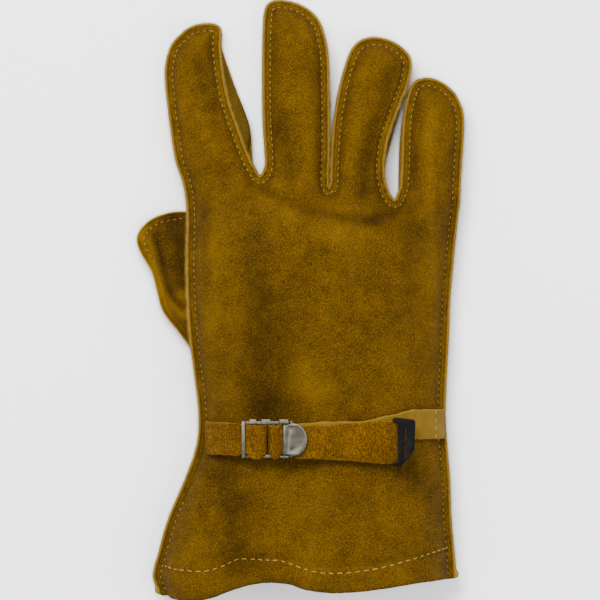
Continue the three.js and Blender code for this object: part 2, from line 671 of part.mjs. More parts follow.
// Strips between the fingers: a channel section, flat under the back's seam and on the palm's seam.
// A section's rows hold the distance in from the seam edge, the share of the way down to the palm and z.
const CORNER_ROUND = 1.3; // rounding where a strip's seam edge turns into its wall
function stripGeometry(f) {
  const [from, to] = [FINGERS[f], FINGERS[f + 1]];
  const lines = [false, true].map((isPalm) => {
    const outline = panelOutline(isPalm);
    const flank = ({ name, stripSteps }, near, far) => {
      const left = outline.between(name + "Left", name + "Left", [0])[0];
      const right = outline.between(name + "Right", name + "Right", [0])[0];
      const count = stripSteps[near === "Left" ? 0 : 1];
      const steps = fingerColumns(right[0] - left[0]).slice(1, count + 1);
      const sides = outline.between(name + near, name + "Shoulder" + near, FINGER_ROWS);
      return [...sides, ...outline.between(name + "Shoulder" + near, name + "Shoulder" + far, steps)];
    };
    return [
      ...flank(from, "Right", "Left").reverse(),
      ...outline.between(from.name + "Right", to.name + "Left", CROTCH_SHARES).slice(1, -1),
      ...flank(to, "Left", "Right"),
    ];
  });
  const inward = (line, i) => {
    const a = line[Math.max(i - 1, 0)];
    const b = line[Math.min(i + 1, line.length - 1)];
    const length = Math.hypot(b[0] - a[0], b[1] - a[1]);
    return [(b[1] - a[1]) / length, -(b[0] - a[0]) / length];
  };
  const rows = lines[0].map((upper, i) => {
    const lower = lines[1][i];
    const [ux, uy] = inward(lines[0], i);
    const [lx, ly] = inward(lines[1], i);
    const wall = SEAM_ALLOWANCE + 0.4;
    const spots = [0.1, wall / 2, wall, wall + STRIP_LEATHER];
    const over = spots.flatMap((d) => heightsOn(backGeometry, upper[0] + ux * d, upper[1] + uy * d));
    const under = spots.flatMap((d) => heightsOn(palmGeometry, lower[0] + lx * d, lower[1] + ly * d));
    const top = Math.min(upper[2], ...over) - SEAM_GAP - STRIP_LEATHER;
    const clear = Math.max(lower[2], ...under) + 2 * SEAM_GAP;
    const bottom = Math.min(clear + STRIP_LEATHER, top - SEAM_GAP);
    const round = Math.min(CORNER_ROUND, Math.max(0, (top - bottom) * 0.3));
    const section = [
      [0, 0, top],
      [wall - round, 0, top],
      [wall, round / (top - bottom), top - round],
      [wall, 1 - round / (top - bottom), bottom + round],
      [wall - round, 1, bottom],
      [0, 1, bottom],
    ];
    return section.map(([d, t, z]) => [
      mix(upper[0] + ux * d, lower[0] + lx * d, t),
      mix(upper[1] + uy * d, lower[1] + ly * d, t),
      z,
    ]);
  });
  return sheetGeometry([rows], () => STRIP_LEATHER, true);
}
FINGERS.slice(1).forEach((finger, f) => {
  addPiece(glove, "strip_" + FINGERS[f].name + "_" + finger.name, stripGeometry(f), SUEDE);
});

// Thumb halves, sewn along both sides and round the tip
function thumbGeometry(isUpper) {
  const start = isUpper ? 1 : 0; // the upper half starts a row further on, below the thumb hole
  const swellAt = (y, base) => Math.max(0, lookup(THUMB, thumbRow(y), 4) * BODY_HEIGHT - 2 * SEAM_GAP - base);
  const rows = THUMB.slice(start);
  const point = (row, column) => [
    across(row[column]),
    thumbBaseY + row[0] * THUMB_LENGTH,
    row[3] * BODY_HEIGHT,
  ];
  const tipRow = [across(THUMB_TIP), thumbBaseY + THUMB_LENGTH, THUMB.at(-1)[3] * BODY_HEIGHT];
  const curve = spline([
    ...rows.map((row) => point(row, 1)),
    tipRow,
    ...[...rows].reverse().map((row) => point(row, 2)),
  ]);
  const shoulder = THUMB_SHOULDER - start;
  const shoulderLeft = curve.share(shoulder);
  const shoulderRight = curve.share(2 * rows.length - shoulder);
  const shares = evenly(10);
  const left = shares.map((t) => curve.at(mix(0, shoulderLeft, t)));
  const right = shares.map((t) => curve.at(mix(1, shoulderRight, t)));
  const columns = fingerColumns(right[0][0] - left[0][0]);
  const bottom = columns.map((t) => left[0].map((v, k) => mix(v, right[0][k], t)));
  const top = columns.map((t) => curve.at(mix(shoulderLeft, shoulderRight, t)));
  const grid = patch(bottom, top, left, right, columns, shares);
  const edge = evenly(120).map((t) => curve.at(t));
  const placed = grid.map((row) =>
    row.map(([x, y, seam]) => {
      const rise = dome((distanceTo(edge, x, y) - SEAM_ALLOWANCE) / FINGER_REACH);
      const base = seam + SEAM_GAP / 2 + LEATHER;
      if (isUpper) return [x, y, base + swellAt(y, base) * rise];
      return [x, y, Math.max(0, seam - SEAM_GAP / 2 - LEATHER) * (1 - rise)];
    }),
  );
  return sheetGeometry([placed], () => LEATHER, !isUpper);
}
addPiece(glove, "thumb_upper", withHole(thumbGeometry(true)), SUEDE);
addPiece(glove, "thumb_lower", thumbGeometry(false), SUEDE);

// The strap is pulled over the ridges of the back, so it follows the upper hull of what lies under it.
const strapY = STRAP_Y * HAND_LENGTH;
const tabY = TAB_Y * HAND_LENGTH;
const STRAP_INSET = 1; // from the seam's edge to the sewn end of a strap
const strapLeft = across(lookup(SIDES, STRAP_Y, 1)) + STRAP_INSET;
const strapRight = across(lookup(SIDES, TAB_Y, 2)) - STRAP_INSET;
const buckleLeft = across(BUCKLE_X);
const pivotX = BUCKLE_LENGTH - PIVOT_INSET; // the lever's axis, from the buckle's left end
const buckleRight = buckleLeft + pivotX + LEVER_LENGTH; // the lever's free end
const hookLeft = across(HOOK_X);
const strapMiddle = (x) => mix(strapY, tabY, smooth((x - across(0.13)) / across(0.25)));
const HULL_STEPS = 120;
const hull = (() => {
  const reach = Math.max(STRAP_HANG + STRAP_END_WIDTH / 2, UNDER_SHIFT + STRAP_UNDER_WIDTH / 2) + 0.5;
  const line = evenly(HULL_STEPS).map((t) => {
    const x = mix(strapLeft, strapRight, t);
    const spots = evenly(8).map((s) => strapMiddle(x) + mix(-reach, reach, s));
    return [x, Math.max(...spots.flatMap((y) => heightsOn(backGeometry, x, y)))];
  });
  const kept = [];
  line.forEach((p) => {
    while (kept.length > 1) {
      const [a, b] = kept.slice(-2);
      if ((b[1] - a[1]) * (p[0] - a[0]) > (p[1] - a[1]) * (b[0] - a[0])) break;
      kept.pop();
    }
    kept.push(p);
  });
  return (x) => SEAM_GAP + lookup(kept, x, 1);
})();

// Under the buckle the strap is straight, at the slope of the back there.
const buckleSlope = (hull(buckleRight) - hull(buckleLeft)) / (buckleRight - buckleLeft);
const buckleDeck = (x) => {
  const chord = (u) => hull(buckleLeft) + (u - buckleLeft) * buckleSlope;
  const excess = Math.max(...evenly(12).map((t) => {
    const u = mix(buckleLeft, buckleRight, t);
    return hull(u) - chord(u);
  }));
  return chord(x) + excess;
};
const RAMP = 7; // length over which a strap runs from the back up to the buckle or hook
const deck = (x) => {
  const into = smooth((x - buckleLeft + RAMP) / RAMP) * smooth((buckleRight + RAMP - x) / RAMP);
  return mix(hull(x), buckleDeck(x), into);
};

// A strap as a rectangle swept along a line of rows: x, height of the middle of the wall, y and width.
function strapGeometry(rows) {
  const positions = [];
  const indices = [];
  rows.forEach(([x, z, y, width], i) => {
    const a = rows[Math.max(i - 1, 0)];
    const b = rows[Math.min(i + 1, rows.length - 1)];
    const length = Math.hypot(b[0] - a[0], b[1] - a[1]);
    const nx = (-(b[1] - a[1]) / length) * (LEATHER / 2);
    const nz = ((b[0] - a[0]) / length) * (LEATHER / 2);
    positions.push(x + nx, y - width / 2, z + nz, x + nx, y + width / 2, z + nz);
    positions.push(x - nx, y + width / 2, z - nz, x - nx, y - width / 2, z - nz);
  });
  for (let i = 1; i < rows.length; i++) {
    for (let k = 0; k < 4; k++) {
      const [a, b] = [(i - 1) * 4 + k, (i - 1) * 4 + ((k + 1) % 4)];
      indices.push(a, a + 4, b, b, a + 4, b + 4);
    }
  }
  const end = (rows.length - 1) * 4;
  indices.push(0, 1, 2, 0, 2, 3, end, end + 2, end + 1, end, end + 3, end + 2);
  const geometry = new THREE.BufferGeometry();
  geometry.setAttribute("position", new THREE.Float32BufferAttribute(positions, 3));
  geometry.setIndex(indices);
  return geometry;
}

// The loops of strap inside the buckle turn round its two middle bars.
const layer = LEATHER + STRAP_BULK;
const SLOPE_STEP = 0.5;
// Height of a layer above the strap's deck, measured square to it.
const above = (x, rise) => {
  const slope = (deck(x + SLOPE_STEP) - deck(x - SLOPE_STEP)) / (2 * SLOPE_STEP);
  return deck(x) + rise * Math.hypot(1, slope);
};
const loopRadius = Math.hypot(BUCKLE_BAR, BUCKLE_PLATE) / 2 + SEAM_GAP + LEATHER / 2;
const buckleMiddle = buckleLeft + BUCKLE_LENGTH * SLOT_SHARE;
const tilt = Math.atan(buckleSlope);
const TURN_STEPS = 6;

// Middle of a run of strap that hangs over the buckle's rail by a share of its full hang
const hang = (share) => strapY - STRAP_HANG * share;

// Rows of a half turn from the lower run to the upper one. side is 1 for a loop that bulges to the right.
// Beside the rails the loop stays narrow, and above them it spreads.
const RAIL_TURN = 0.66;
function loopRows(centreX, side) {
  const centreZ = above(centreX, LEATHER / 2 + loopRadius);
  return evenly(TURN_STEPS).map((t) => {
    const angle = -Math.PI / 2 + t * Math.PI;
    const out = loopRadius * Math.cos(angle) * side;
    const up = loopRadius * Math.sin(angle);
    const x = centreX + out * Math.cos(tilt) - up * Math.sin(tilt);
    const z = centreZ + out * Math.sin(tilt) + up * Math.cos(tilt);
    const open = smooth((t - RAIL_TURN) / (1 - RAIL_TURN));
    return [x, z, hang(open), mix(STRAP_UNDER_WIDTH, STRAP_WIDTH, open)];
  });
}
const loopReach = loopRadius + LEATHER / 2;
const topLevel = (x) => above(x, 2 * loopRadius + LEATHER / 2);
const plateLevel = LEATHER / 2 + loopRadius - BUCKLE_PLATE / 2; // buckle plate's underside above the deck
const stubTurn = buckleMiddle - BUCKLE_SLOT / 2 - loopReach;
const strapTurn = buckleMiddle + BUCKLE_SLOT / 2 + loopReach;

// Anchor strap: sewn in the left seam, over the top into the buckle, round its bar and back underneath.
const STUB_TAIL = 9; // length of the folded end under the anchor strap
const TURN_OUT = 2.5; // length over which a strap widens beside a post or ear of the buckle
const stubRows = (() => {
  const tail = evenly(3).map((t) => {
    const x = mix(stubTurn - STUB_TAIL, stubTurn - 1, t);
    return [x, above(x, LEATHER / 2), strapY, STRAP_UNDER_WIDTH];
  });
  const start = strapLeft;
  const top = evenly(18).map((t) => {
    const x = mix(stubTurn - 1, start, t);
    const u = x - buckleLeft;
    const rise = smooth((x - start) / (stubTurn - STUB_TAIL - start - 2));
    const inside = smooth((u - BUCKLE_BAR - SEAM_GAP) / TURN_OUT);
    const outside = smooth((-SEAM_GAP - u) / TURN_OUT);
    const width = mix(mix(STRAP_UNDER_WIDTH, STRAP_WIDTH, inside), ANCHOR_WIDTH, outside);
    const y = hang(inside) + ANCHOR_SHIFT * smooth(u / (start - buckleLeft));
    return [x, mix(above(x, LEATHER / 2), topLevel(x), rise), y, width];
  });
  return [...tail, ...loopRows(stubTurn, 1), ...top];
})();
addPiece(glove, "strap_anchor", strapGeometry(stubRows), SUEDE);

// Main strap: sewn at the right seam with its smooth side out, left along the back, round the buckle's
// bar, and back over itself with its suede side out and widening, into the pocket of the end hook.
const EAR_WALL = 0.9;
const earHalf = LEVER_BARREL + EAR_WALL;
const pocketHalf = STRAP_END_WIDTH / 2 + SEAM_GAP;
const hookBase = Math.max(...evenly(8).map((t) =>
  above(mix(hookLeft - HOOK_WING, hookLeft + HOOK_LENGTH, t), LEATHER + SEAM_GAP),
));
const pocketLevel = hookBase + HOOK_JAW + SEAM_GAP + LEATHER / 2; // middle of the strap's end
const END_CUT = 2.4; // corner cut off the strap's end
const mainRows = (() => {
  const lower = evenly(22).map((t) => {
    const x = mix(strapRight, strapTurn + 1, t);
    const shift = UNDER_SHIFT * smooth((x - buckleRight + RAMP) / (2 * RAMP)) * (tabY - strapMiddle(x));
    return [x, above(x, LEATHER / 2), strapMiddle(x) + shift / (tabY - strapY), STRAP_UNDER_WIDTH];
  });
  const end = hookLeft - HOOK_WING - 0.5;
  const upper = evenly(26).map((t) => {
    const x = mix(strapTurn + 1, end, t);
    const u = x - buckleLeft - pivotX;
    const inEars = smooth((u + earHalf + TURN_OUT) / (TURN_OUT - SEAM_GAP)) *
      smooth((earHalf + TURN_OUT - u) / (TURN_OUT - SEAM_GAP));
    const flare = smooth((x - buckleRight) / (end - buckleRight));
    const settled = smooth((x - buckleRight) / RAMP);
    const raised = smooth((x - end + 2 * RAMP) / (2 * RAMP));
    const rest = mix(topLevel(x), above(x, LEATHER / 2 + layer), settled);
    const width = mix(mix(STRAP_WIDTH, STRAP_END_WIDTH, flare), STRAP_UNDER_WIDTH, inEars);
    return [x, mix(rest, pocketLevel, raised), hang(1 - inEars), width];
  });
  const tip = hookLeft + HOOK_POCKET - SEAM_GAP;
  const inPocket = [
    [hookLeft + 0.4, pocketLevel, hang(1), STRAP_END_WIDTH],
    [tip, pocketLevel, hang(1) + END_CUT / 2, STRAP_END_WIDTH - END_CUT],
  ];
  return [...lower, ...loopRows(strapTurn, -1), ...upper, ...inPocket];
})();
addPiece(glove, "wrist_strap", strapGeometry([...mainRows].reverse()), GRAIN_LEATHER);

// A box by its lowest and highest corner
function block(x0, y0, z0, x1, y1, z1) {
  const geometry = new THREE.BoxGeometry(x1 - x0, y1 - y0, z1 - z0);
  return geometry.translate((x0 + x1) / 2, (y0 + y1) / 2, (z0 + z1) / 2);
}

// Buckle, in a frame of its own: x along it from its left end, y from the strap's middle, z up from the
// underside of its plate.
const buckle = new THREE.Group();
buckle.position.set(buckleLeft, strapY, deck(buckleLeft) + plateLevel);
buckle.rotation.y = -tilt;
glove.add(buckle);
const innerHalf = STRAP_UNDER_WIDTH / 2 + BUCKLE_PLAY;
const outerHalf = innerHalf + BUCKLE_RAIL;
const coverLevel = loopRadius + LEATHER / 2 + BUCKLE_PLATE / 2 + SEAM_GAP; // above the top run of strap
const pivotZ = coverLevel + SEAM_GAP + LEVER_BARREL;
const PIN_PLAY = 0.08; // space round the lever's pin in its holes
const barX = (turn) => turn - buckleLeft;

function buckleFrame() {
  const parts = [];
  const bar = (x, z0) => parts.push(block(x, -outerHalf, z0, x + BUCKLE_BAR, outerHalf, z0 + BUCKLE_PLATE));
  [-1, 1].forEach((side) => {
    const [y0, y1] = side < 0 ? [-outerHalf, -innerHalf] : [innerHalf, outerHalf];
    parts.push(block(0, y0, 0, BUCKLE_LENGTH, y1, BUCKLE_PLATE));
    parts.push(block(0, y0, 0, BUCKLE_BAR, y1, coverLevel + BUCKLE_PLATE));
    const [e0, e1] = side < 0 ? [-outerHalf, -outerHalf + EAR_WALL] : [outerHalf - EAR_WALL, outerHalf];
    parts.push(block(pivotX - earHalf, e0, 0, pivotX + earHalf, e1, pivotZ + earHalf));
  });
  const tab = (x, length) => {
    parts.push(block(x, outerHalf - SEAM_GAP, 0, x + length, outerHalf + TAB_REACH, BUCKLE_PLATE));
  };
  tab(TOOTH_START / 2, TOOTH_START / 2 - SEAM_GAP);
  for (let x = TOOTH_START; x + TOOTH_LENGTH < pivotX - earHalf; x += TOOTH_PITCH) {
    parts.push(block(x, innerHalf, 0, x + TOOTH_LENGTH, outerHalf, BUCKLE_PLATE + TOOTH_HEIGHT));
    tab(x + TOOTH_LENGTH, TAB_LENGTH);
  }
  bar(0, coverLevel);
  bar(barX(stubTurn) - BUCKLE_BAR / 2, 0);
  bar(barX(strapTurn) - BUCKLE_BAR / 2, 0);
  bar(BUCKLE_LENGTH - BUCKLE_BAR, 0);
  const hole = PIN + PIN_PLAY;
  const pinHole = new THREE.CylinderGeometry(hole, hole, 4 * outerHalf, LEVER_SIDES);
  pinHole.translate(pivotX, 0, pivotZ);
  return fromManifold(joined(parts).subtract(asManifold(pinHole)));
}

// Lever: a D-shaped flap with a raised rim and rib, and a rolled edge with a pin through the ears.
const PIN = 0.6; // radius of the lever's pin
const LEVER_SIDES = 12;
function leverShape(inset) {
  const root = innerHalf - 0.9 - inset;
  const half = LEVER_HALF - inset;
  const end = LEVER_LENGTH - inset;
  const shape = new THREE.Shape();
  shape.moveTo(inset, -root);
  shape.quadraticCurveTo(0.2 * end, -half, 0.4 * end, -half);
  shape.bezierCurveTo(0.75 * end, -half, end, -0.5 * half, end, 0);
  shape.bezierCurveTo(end, 0.5 * half, 0.75 * end, half, 0.4 * end, half);
  shape.quadraticCurveTo(0.2 * end, half, inset, root);
  shape.closePath();
  return shape;
}
function buckleLever() {
  const flat = (shape, depth) =>
    new THREE.ExtrudeGeometry(shape, { depth, bevelEnabled: false, curveSegments: 4 });
  const underside = coverLevel + SEAM_GAP;
  const plate = flat(leverShape(0), LEVER_PLATE + LEVER_RIM).translate(pivotX, 0, underside);
  const dish = flat(leverShape(1), 2 * LEVER_RIM).translate(pivotX, 0, underside + LEVER_PLATE);
  const barrel = new THREE.CylinderGeometry(LEVER_BARREL, LEVER_BARREL, 2 * innerHalf - 1, LEVER_SIDES);
  const pin = new THREE.CylinderGeometry(PIN, PIN, 2 * outerHalf + 0.6, LEVER_SIDES);
  const rib = block(2.6, -innerHalf * 0.6, 0, 3.4, innerHalf * 0.6, LEVER_RIM);
  rib.translate(pivotX, 0, underside + LEVER_PLATE);
  [barrel, pin].forEach((g) => g.translate(pivotX, 0, pivotZ));
  const body = asManifold(plate).subtract(asManifold(dish)).add(joined([rib, barrel, pin]));
  return fromManifold(body);
}
addPiece(buckle, "buckle_frame", buckleFrame(), STEEL);
addPiece(buckle, "buckle_lever", buckleLever(), STEEL);

// End hook: a flat piece with a pocket that holds the strap's end, a thin slot, wings that reach over the
// strap's edges and one cut corner. Its plan starts at its left edge and at the middle of the strap.
function plan(points) {
  const shape = new THREE.Shape();
  points.forEach(([x, y], i) => (i ? shape.lineTo(x, y) : shape.moveTo(x, y)));
  shape.closePath();
  return shape;
}
function hookGeometry() {
  const half = HOOK_WIDTH / 2;
  const inner = pocketHalf - 1.4;
  const outline = plan([
    [0, -inner],
    [-HOOK_WING, -inner - 1],
    [-HOOK_WING + 0.4, -half + 0.4],
    [0, -half],
    [HOOK_LENGTH - 6.6, -half],
    [HOOK_LENGTH - 0.6, -half + HOOK_CHAMFER],
    [HOOK_LENGTH, half - 2],
    [HOOK_LENGTH - 0.8, half - 1],
    [-HOOK_WING + 1.3, half],
    [-HOOK_WING, half - 1],
    [-HOOK_WING + 0.2, inner + 1],
    [0, inner],
  ]);
  const pocket = plan([
    [-2 * HOOK_WING, -pocketHalf],
    [0.4, -pocketHalf],
    [HOOK_POCKET, -pocketHalf + END_CUT],
    [HOOK_POCKET, pocketHalf],
    [-2 * HOOK_WING, pocketHalf],
  ]);
  const slot = plan([
    [HOOK_POCKET + 1, 6.9],
    [HOOK_POCKET + 1.9, 6.9],
    [HOOK_POCKET + 1.6, -7.2],
    [HOOK_POCKET + 0.7, -7.2],
  ]);
  const solid = (shape, depth) => asManifold(new THREE.ExtrudeGeometry(shape, { depth, bevelEnabled: false }));
  const room = LEATHER + 2 * SEAM_GAP;
  const body = solid(outline, HOOK_JAW + room + HOOK_PLATE);
  const hollow = solid(pocket, room).translate([0, 0, HOOK_JAW]);
  return fromManifold(body.subtract(hollow).subtract(solid(slot, 4 * room).translate([0, 0, -room])));
}
const hook = addPiece(glove, "strap_hook", hookGeometry(), BLACK);
hook.position.set(hookLeft, hang(1), hookBase);

// The glove's own box is centred over the origin and stands on it.
const box = new THREE.Box3().setFromObject(glove);
glove.position.set(-(box.min.x + box.max.x) / 2, -(box.min.y + box.max.y) / 2, -box.min.z);

export default glove;
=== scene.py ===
# Looks of a leather firefighter glove that lies palm down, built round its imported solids.
import math
import random

import bmesh
import bpy
import numpy as np
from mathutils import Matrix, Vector, noise
from mathutils.bvhtree import BVHTree


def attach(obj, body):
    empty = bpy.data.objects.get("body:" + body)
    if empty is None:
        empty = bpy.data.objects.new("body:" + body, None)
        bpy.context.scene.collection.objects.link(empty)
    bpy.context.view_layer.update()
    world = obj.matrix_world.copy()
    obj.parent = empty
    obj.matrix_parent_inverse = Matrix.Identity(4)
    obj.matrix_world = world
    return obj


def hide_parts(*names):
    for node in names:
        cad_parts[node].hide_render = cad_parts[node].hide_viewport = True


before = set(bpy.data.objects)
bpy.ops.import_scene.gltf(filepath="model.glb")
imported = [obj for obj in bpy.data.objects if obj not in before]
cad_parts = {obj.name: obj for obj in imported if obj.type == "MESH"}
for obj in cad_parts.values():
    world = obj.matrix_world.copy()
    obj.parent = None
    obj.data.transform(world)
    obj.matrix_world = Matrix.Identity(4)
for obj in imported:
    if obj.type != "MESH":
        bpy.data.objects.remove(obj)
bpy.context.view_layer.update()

MM = 0.001

# Overall sizes of the sewn glove, in millimetres, as in the part's source
PALM_WIDTH = 122
HAND_LENGTH = 122
CUFF_LENGTH = 68
BODY_HEIGHT = 36
FINGER_DEPTH = 25.5
TIP_DEPTH = 18
TABLES_X = 10.011  # from the tables' middle line to the middle of the glove's box
TABLES_Y = -69.383  # from the tables' wrist line to the middle of the glove's box

# Leather and seams
LEATHER = 1.8
STRIP_LEATHER = 1.4
SEAM_ALLOWANCE = 3.2
SEAM_GAP = 0.3
HEM_DEPTH = 11.2
SIDE_WALL = 11.8  # how far the palm's seams lie below the back's between the fingers
TIP_SEAM = 9
CROTCH_SEAM = 16.5
OUTER_SEAM = 13
WALL_SHARES = (1, 1, 0.96, 0.86, 0.72, 0.52, 0.14)  # how much of it is left at each row of a finger
FINGER_SWELL = FINGER_DEPTH - CROTCH_SEAM - LEATHER - SEAM_GAP / 2
TIP_SWELL = TIP_DEPTH - TIP_SEAM - LEATHER - SEAM_GAP / 2
FINGER_REACH = 11.5
HAND_REACH = 27
PALM_REACH = 15
LAYER_STEP = 0.35  # how far each lower layer of a seam shows past the one above it
PALM_TUCK = 1.1  # how far the palm's seams between the fingers hide under the side strips
FINGERS_FELT = 0.6  # height on the hand, as a share, from which its swell turns into the fingers' swell
TUCK_LOST = 0.8  # share of the palm's shift that is gone at a fingertip
TUCK_FADE = (0.7, 0.25)  # where on a finger it starts to go, and over how much of its length
HOLE_RIM = 1.6  # up to here, in the thumb hole's own measure, an edge is the hole's edge
HOLE_ROUNDING = 0.3
OUTLINE_POINTS = 1400
RELAX_ROUNDS = 160
RELAX_MARGIN = 8  # lines nearer than this to a side seam stay parallel to it

# Fingers. Name, length, base height, tip x, rows where the tip's rounding starts at left and right, and
# rows: along, left edge, right edge, and the palm's shift at each.
FINGERS = (
    ("index", 72, 1.038, -0.433, (4, 5), (
        (0.1, -0.558, -0.274, 0, 0.013),
        (0.3, -0.577, -0.32, 0, 0.05),
        (0.5, -0.592, -0.36, 0, 0.05),
        (0.7, -0.6, -0.383, 0, 0.031),
        (0.85, -0.579, -0.392, 0, 0.015),
        (0.93, -0.54, -0.39, 0, 0.01),
        (0.98, -0.5, -0.396, 0, 0.008),
    )),
    ("middle", 81.5, 1.05, -0.165, (4, 4), (
        (0.1, -0.2135, 0.028, -0.006, 0.002),
        (0.3, -0.221, 0.029, -0.01, 0.003),
        (0.5, -0.223, 0.027, -0.01, 0.003),
        (0.7, -0.223, 0.022, -0.01, 0.002),
        (0.85, -0.221, -0.001, -0.008, 0.001),
        (0.93, -0.2165, -0.038, -0.004, 0),
        (0.98, -0.203, -0.095, 0, 0),
    )),
    ("ring", 69.6, 1.004, 0.202, (4, 4), (
        (0.1, 0.0385, 0.239, -0.003, 0.011),
        (0.3, 0.044, 0.2515, -0.004, 0.021),
        (0.5, 0.0565, 0.29, -0.004, 0.015),
        (0.7, 0.078, 0.3325, -0.004, 0.005),
        (0.85, 0.1027, 0.343, -0.002, 0.002),
        (0.93, 0.124, 0.31, 0, 0),
        (0.98, 0.155, 0.262, 0, 0),
    )),
    ("little", 56, 0.958, 0.4058, (4, 4), (
        (0.1, 0.3077, 0.534, -0.014, 0),
        (0.3, 0.3135, 0.539, -0.018, 0),
        (0.5, 0.3154, 0.545, -0.015, 0),
        (0.7, 0.322, 0.545, -0.009, 0),
        (0.85, 0.3365, 0.52, -0.003, 0),
        (0.93, 0.35, 0.486, 0, 0),
        (0.98, 0.37, 0.45, 0, 0),
    )),
)

# Crotches: left corner, bottom and right corner in palm widths, heights of the corners and of the bottom
CROTCHES = (
    (-0.2596, -0.2365, -0.2154, 1.073, 1.0385),
    (0.025, 0.0308, 0.0377, 1.019, 0.994),
    (0.2558, 0.2827, 0.3019, 0.983, 0.946),
)

# Sides of hand and cuff: height, left and right edge, seam height at left and right, swell of the back
SIDES = (
    (-1.0, -0.625, 0.515, 0.33, 0.33, 0.62),
    (-0.9, -0.645, 0.519, 0.33, 0.33, 0.61),
    (-0.75, -0.626, 0.51, 0.34, 0.33, 0.58),
    (-0.5, -0.586, 0.498, 0.36, 0.33, 0.53),
    (-0.25, -0.527, 0.493, 0.38, 0.33, 0.48),
    (0.0, -0.478, 0.482, 0.4, 0.33, 0.43),
    (0.12, -0.469, 0.475, 0.44, 0.32, 0.43),
    (0.28, -0.486, 0.481, 0.54, 0.31, 0.45),
    (0.42, -0.503, 0.488, 0.64, 0.3, 0.46),
    (0.58, -0.513, 0.495, 0.69, 0.3, 0.46),
    (0.74, -0.516, 0.509, 0.66, 0.3, 0.43),
    (0.9, -0.514, 0.526, 0.52, 0.3, 0.33),
)
KNUCKLE_LEFT = (1.01, -0.5288)
KNUCKLE_RIGHT = (0.942, 0.531)

# Mouth of the cuff: share of the way across, drop in cuff lengths, swell of the back
MOUTH = (
    (0.0, 0.0, 0.5),
    (0.08, 0.045, 0.56),
    (0.17, 0.035, 0.54),
    (0.31, -0.04, 0.4),
    (0.42, -0.035, 0.5),
    (0.5, 0.015, 0.64),
    (0.6, 0.04, 0.72),
    (0.72, 0.035, 0.7),
    (0.86, 0.01, 0.6),
    (1.0, 0.0, 0.5),
)
MOUTH_CORNERS = (-1.0, -0.89)

# Main folds of the back, as in the solids: start x and y, end x and y, half width, height
BACK_FOLDS = (
    (-0.2, 0.5, -0.17, 0.06, 0.075, -0.15),
    (-0.36, 0.75, -0.35, 0.16, 0.07, 0.06),
    (-0.06, 0.3, -0.05, 0.1, 0.07, 0.06),
    (-0.22, 0.97, 0.0, 0.935, 0.035, -0.07),
    (0.0, 0.935, 0.25, 0.905, 0.035, -0.08),
    (-0.1, 0.8, 0.3, 0.78, 0.08, 0.03),
    (0.41, 0.9, 0.38, 0.4, 0.05, 0.05),
    (-0.42, -0.1, -0.3, -0.42, 0.08, -0.07),
    (-0.28, -0.28, -0.27, -0.56, 0.07, -0.08),
    (0.0, -0.2, 0.03, -0.56, 0.1, 0.05),
    (0.33, -0.08, 0.3, -0.4, 0.07, -0.04),
)

# The picture's frame: a plan point in millimetres for a place in the 600 by 600 picture
PICTURE_MIDDLE = 300
PICTURE_STEP = 0.469

# Softer folds of the back, with painted shade in their hollows and painted light on their ridges. Each row:
# its path in the picture's frame, half width there, height in millimetres, and how much lighter (above 0) or
# darker (below 0) the nap is painted there.
SOFT_FOLDS = (
    (((262, 190), (282, 201), (306, 210), (332, 216), (354, 221), (374, 222), (393, 214)), 5, -0.9, -0.35),
    (((280, 184), (300, 190), (318, 192)), 9, 0.8, 0.1),
    (((300, 226), (340, 234), (380, 232)), 12, 0.5, 0.12),
    (((214, 240), (214, 300), (213, 350)), 9, 0.7, 0.2),
    (((206, 200), (205, 240), (207, 285)), 5, -0.5, -0.3),
    (((237, 285), (235, 340), (232, 400)), 8, 0.8, 0.1),
    (((255, 240), (262, 300), (268, 360), (266, 412)), 15, -0.6, -0.3),
    (((230, 375), (255, 405), (290, 412)), 15, -0.2, -0.25),
    (((300, 380), (312, 394)), 15, 0.8, 0.25),
    (((430, 115), (432, 200), (431, 330)), 7, 0.6, 0.2),
    (((412, 120), (414, 190), (411, 290)), 9, -0.5, -0.18),
    (((372, 226), (405, 231), (438, 238)), 11, -0.4, -0.15),
    (((196, 62), (202, 82), (212, 104)), 10, -0.8, -0.3),
    (((182, 108), (198, 116)), 14, 0.5, 0.15),
    (((176, 130), (200, 140), (226, 138)), 5, -0.3, -0.12),
    (((196, 150), (214, 162), (240, 168)), 9, -0.2, -0.1),
    (((282, 112), (286, 150), (291, 186)), 8, -0.7, -0.25),
    (((310, 95), (311, 140), (313, 176)), 9, 0.5, 0.18),
    (((276, 24), (277, 70)), 9, -0.2, -0.08),
    (((391, 72), (378, 118), (366, 158), (363, 192)), 9, -1.3, -0.38),
    (((360, 74), (352, 120), (346, 170)), 6, 0.4, 0.12),
    (((408, 110), (409, 150), (411, 190)), 6, -0.4, -0.15),
    (((222, 468), (232, 520), (243, 572)), 15, -1.2, -0.28),
    (((290, 480), (310, 560)), 26, 0.6, 0.12),
    (((350, 500), (352, 560)), 20, -0.3, -0.06),
    (((405, 462), (424, 492)), 11, -0.6, -0.25),
    (((212, 400), (222, 414)), 10, -0.3, -0.12),
    (((320, 440), (320, 470)), 24, -0.2, -0.12),
)

